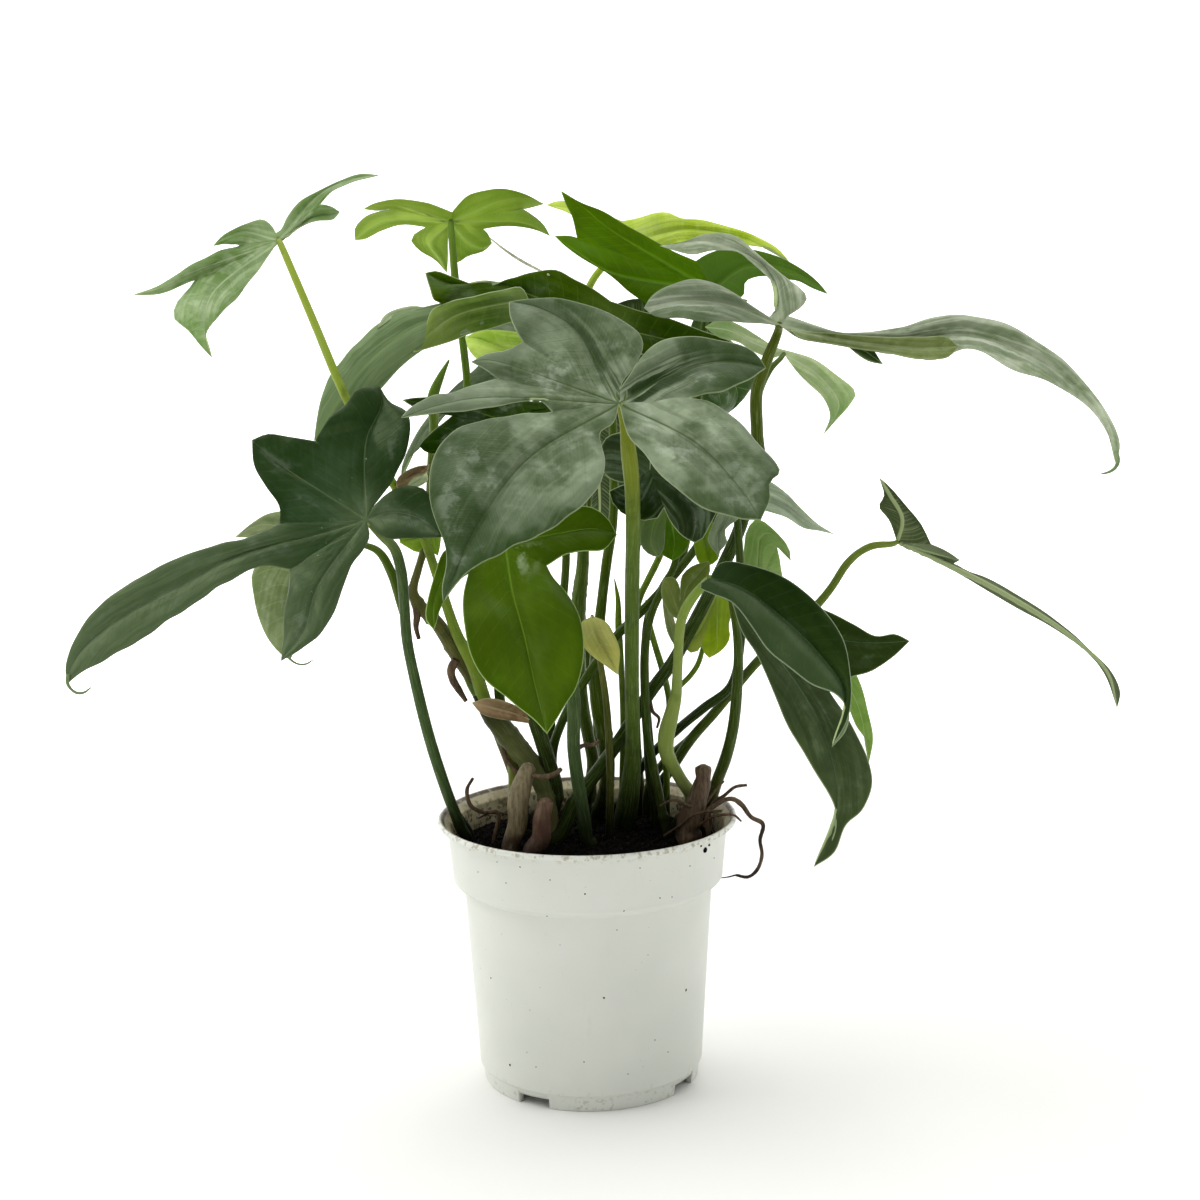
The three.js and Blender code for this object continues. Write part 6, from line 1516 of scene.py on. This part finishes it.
for stalk in stalks:
    x, y, footRadius = stalk["foot"]
    above, radii = laidOut(stalk["path"])
    ground = [[x, y, soil["top"] - stalkMake["soilSink"]], [x, y, soil["top"] + 0.6]]
    points = np.vstack([ground, above])
    topRadius = radii[-1]
    radii = [footRadius, footRadius, *radii]
    if stalk["id"] in joins:  # a petiole runs on into the join of its blade
        points = np.vstack([points, placed(joins[stalk["id"]]) / mm + shift])
        radii = radii + [radii[-1] * 0.8]
    kind = stalk.get("tone", "stem")
    if kind == "stem":
        look = {**plainStalk, **stalkLooks.get(stalk["id"], {})}
        finish = stalkFinish("stalk_" + stalk["id"][-2:], look)
        made = makeStalk("stalk_" + stalk["id"].replace("petiole_", ""), points, radii, finish,
                         rings=stalkRings.get(stalk["id"], ()))
        settle(made, "green_stalk", stalk["id"])
    else:
        look = rootLook
        if kind == "dry":
            look = stubLooks[stalk["id"]]
            for share in (0.3, 0.5, 0.58):  # a rounded top
                points = np.vstack([points, points[-1] + (points[-1] - points[-2]) * share * 0.3])
                radii = radii + [topRadius * (0.95 - share)]
        finish = barkFinish(stalk["id"] + "_bark", look)
        made = makeStalk("plant_" + stalk["id"], points, radii, finish, look["ripple"])
        settle(made, {"dry": "dry_stub", "root": "root"}[kind], stalk["id"])
crownFinish = stalkFinish("stalk_crown", bits["crownLook"])
made = makeStalk("stalk_crown", *laidOut(bits["crown"]), crownFinish, 0.35, bits["crownRings"])
settle(made, "green_stalk")
thinStalk = stalkFinish("stalk_thin", {"foot": "#5a6c20", "middle": "#62782a", "top": "#6a8420"})
for name, marks in bits["thinStalks"].items():
    settle(makeStalk("stalk_" + name, *laidOut(marks), thinStalk), "green_stalk")
curls = {look: stalkFinish("stalk_curl_" + look, {"foot": code, "middle": code, "top": code, "soil": 0})
         for look, code in bits["curlTones"].items()}
for name, tone, marks in bits["curls"]:
    settle(makeStalk("curl_" + name, *laidOut(marks), curls[tone]), "leaf_grey")
rootBark = barkFinish("small_root_bark", rootLook)
for name, marks in bits["roots"].items():
    made = makeStalk("plant_root_" + name, *laidOut(marks), rootBark, rootLook["ripple"])
    settle(made, "root")
print("stalks made")
makeSoil()
dirt = soilFinish()
makeBeads("pot_specks", makePot(), bits["specks"], 0.6, dirt, "potting_soil")
makeBeads("water_drops", bpy.data.objects["leaf_09"], bits["drops"], 0.5, dropFinish(), "leaf_dark")
print("pot and soil made")


studio = {
    "floorWide": 6.0,
    "shadedFloorColour": "#e4e4e0",
    "shadeReach": 0.3,  # metres from the pot where the floor's painted shade starts to fade, and where it is white and glows, a painted light
    "whiteFrom": 0.95,
    "sweepStart": 1.6,  # metres behind the plant where the floor starts to rise
    "sweepRadius": 1.2,
    "wallHeight": 3.0,
    "skyFront": 0.2,  # light from the camera's side, from overhead, from behind and from either side
    "skyTop": 0.54,
    "skyBack": 0.44,
    "skySide": 0.42,
    # name, position, size, power, all in metres and watts
    "lamps": [
        ("keyLight", (-1.3, -0.2, 2.0), 1.1, 18),
        ("topLight", (0.3, 0.5, 2.2), 1.4, 15),
        ("backLight", (-1.5, 1.2, 0.9), 1.2, 8),
    ],
    "target": (0.0, 0.0, 0.18),
}


def makeFloor():
    half = studio["floorWide"] / 2
    start, radius = studio["sweepStart"], studio["sweepRadius"]
    profile = [(-half, 0.0), (start, 0.0)]
    for angle in np.linspace(0.1, math.pi / 2, 20):
        profile.append((start + radius * math.sin(angle), radius - radius * math.cos(angle)))
    profile += [(start + radius, radius + studio["wallHeight"])]
    points = [(side * half, y, z) for y, z in profile for side in (-1, 1)]
    faces = [[2 * i, 2 * i + 1, 2 * i + 3, 2 * i + 2] for i in range(len(profile) - 1)]
    made, sheet = newFinish("pale_floor_painted_shade_and_glow")
    x, y, _ = sheet.split(sheet.objectPlace())
    # the floor is darker grey near the pot, a painted shade round it, and further off it is white and
    # glows, a painted light
    away = sheet.maths("SQRT", x * x + y * y)
    far = sheet.smooth(away, studio["shadeReach"], studio["whiteFrom"])
    tone = sheet.blend(far, studio["shadedFloorColour"], "#ffffff")
    glow = sheet.blend(far, "#000000", "#ffffff")
    sheet.show(sheet.surface({
        "Base Color": tone,
        "Roughness": 0.7,
        "Specular IOR Level": 0.2,
        "Emission Color": glow,
        "Emission Strength": 0.7,
    }))
    floor = newPiece("floor", points, faces, [made])


def makeLights():
    world = bpy.data.worlds.new("studio")
    bpy.context.scene.world = world
    world.use_nodes = True
    sheet = NodeSheet(world.node_tree)
    x, y, z = sheet.split(sheet.made("ShaderNodeTexCoord", output="Generated"))
    strength = studio["skyFront"] + sheet.smooth(z, -0.1, 0.9) * studio["skyTop"]
    strength = strength + sheet.smooth(y, -0.5, 0.8) * studio["skyBack"]
    strength = strength + sheet.smooth(sheet.maths("ABSOLUTE", x), 0.3, 1.0) * studio["skySide"]
    seen = sheet.made("ShaderNodeLightPath", output="Is Camera Ray")
    strength = strength * (1 - seen) + seen
    glow = sheet.node("ShaderNodeBackground", None, {"Color": "#ffffff", "Strength": strength})
    sheet.node("ShaderNodeOutputWorld", None, {"Surface": sheet.out(glow)})
    for name, position, size, power in studio["lamps"]:
        lamp = bpy.data.lights.new(name, "AREA")
        lamp.size = size
        lamp.energy = power
        holder = newObject(name, lamp)
        holder.location = position
        aim = Vector(studio["target"]) - Vector(position)
        holder.rotation_euler = aim.to_track_quat("-Z", "Y").to_euler()


def makeCamera():
    lens = bpy.data.cameras.new("photoCamera")
    lens.sensor_width = 36.0
    lens.lens = view["unitsPerRadian"] / (2 * view["middle"]) * lens.sensor_width
    lens.clip_end = 30.0
    camera = newObject("photoCamera", lens)
    turn = Matrix((right, up, -forward)).transposed().to_4x4()
    camera.matrix_world = Matrix.Translation(Vector((eye - shift) * mm)) @ turn
    bpy.context.scene.camera = camera


makeFloor()
makeLights()
makeCamera()
bpy.context.scene.view_settings.view_transform = "Standard"
print("scene made")
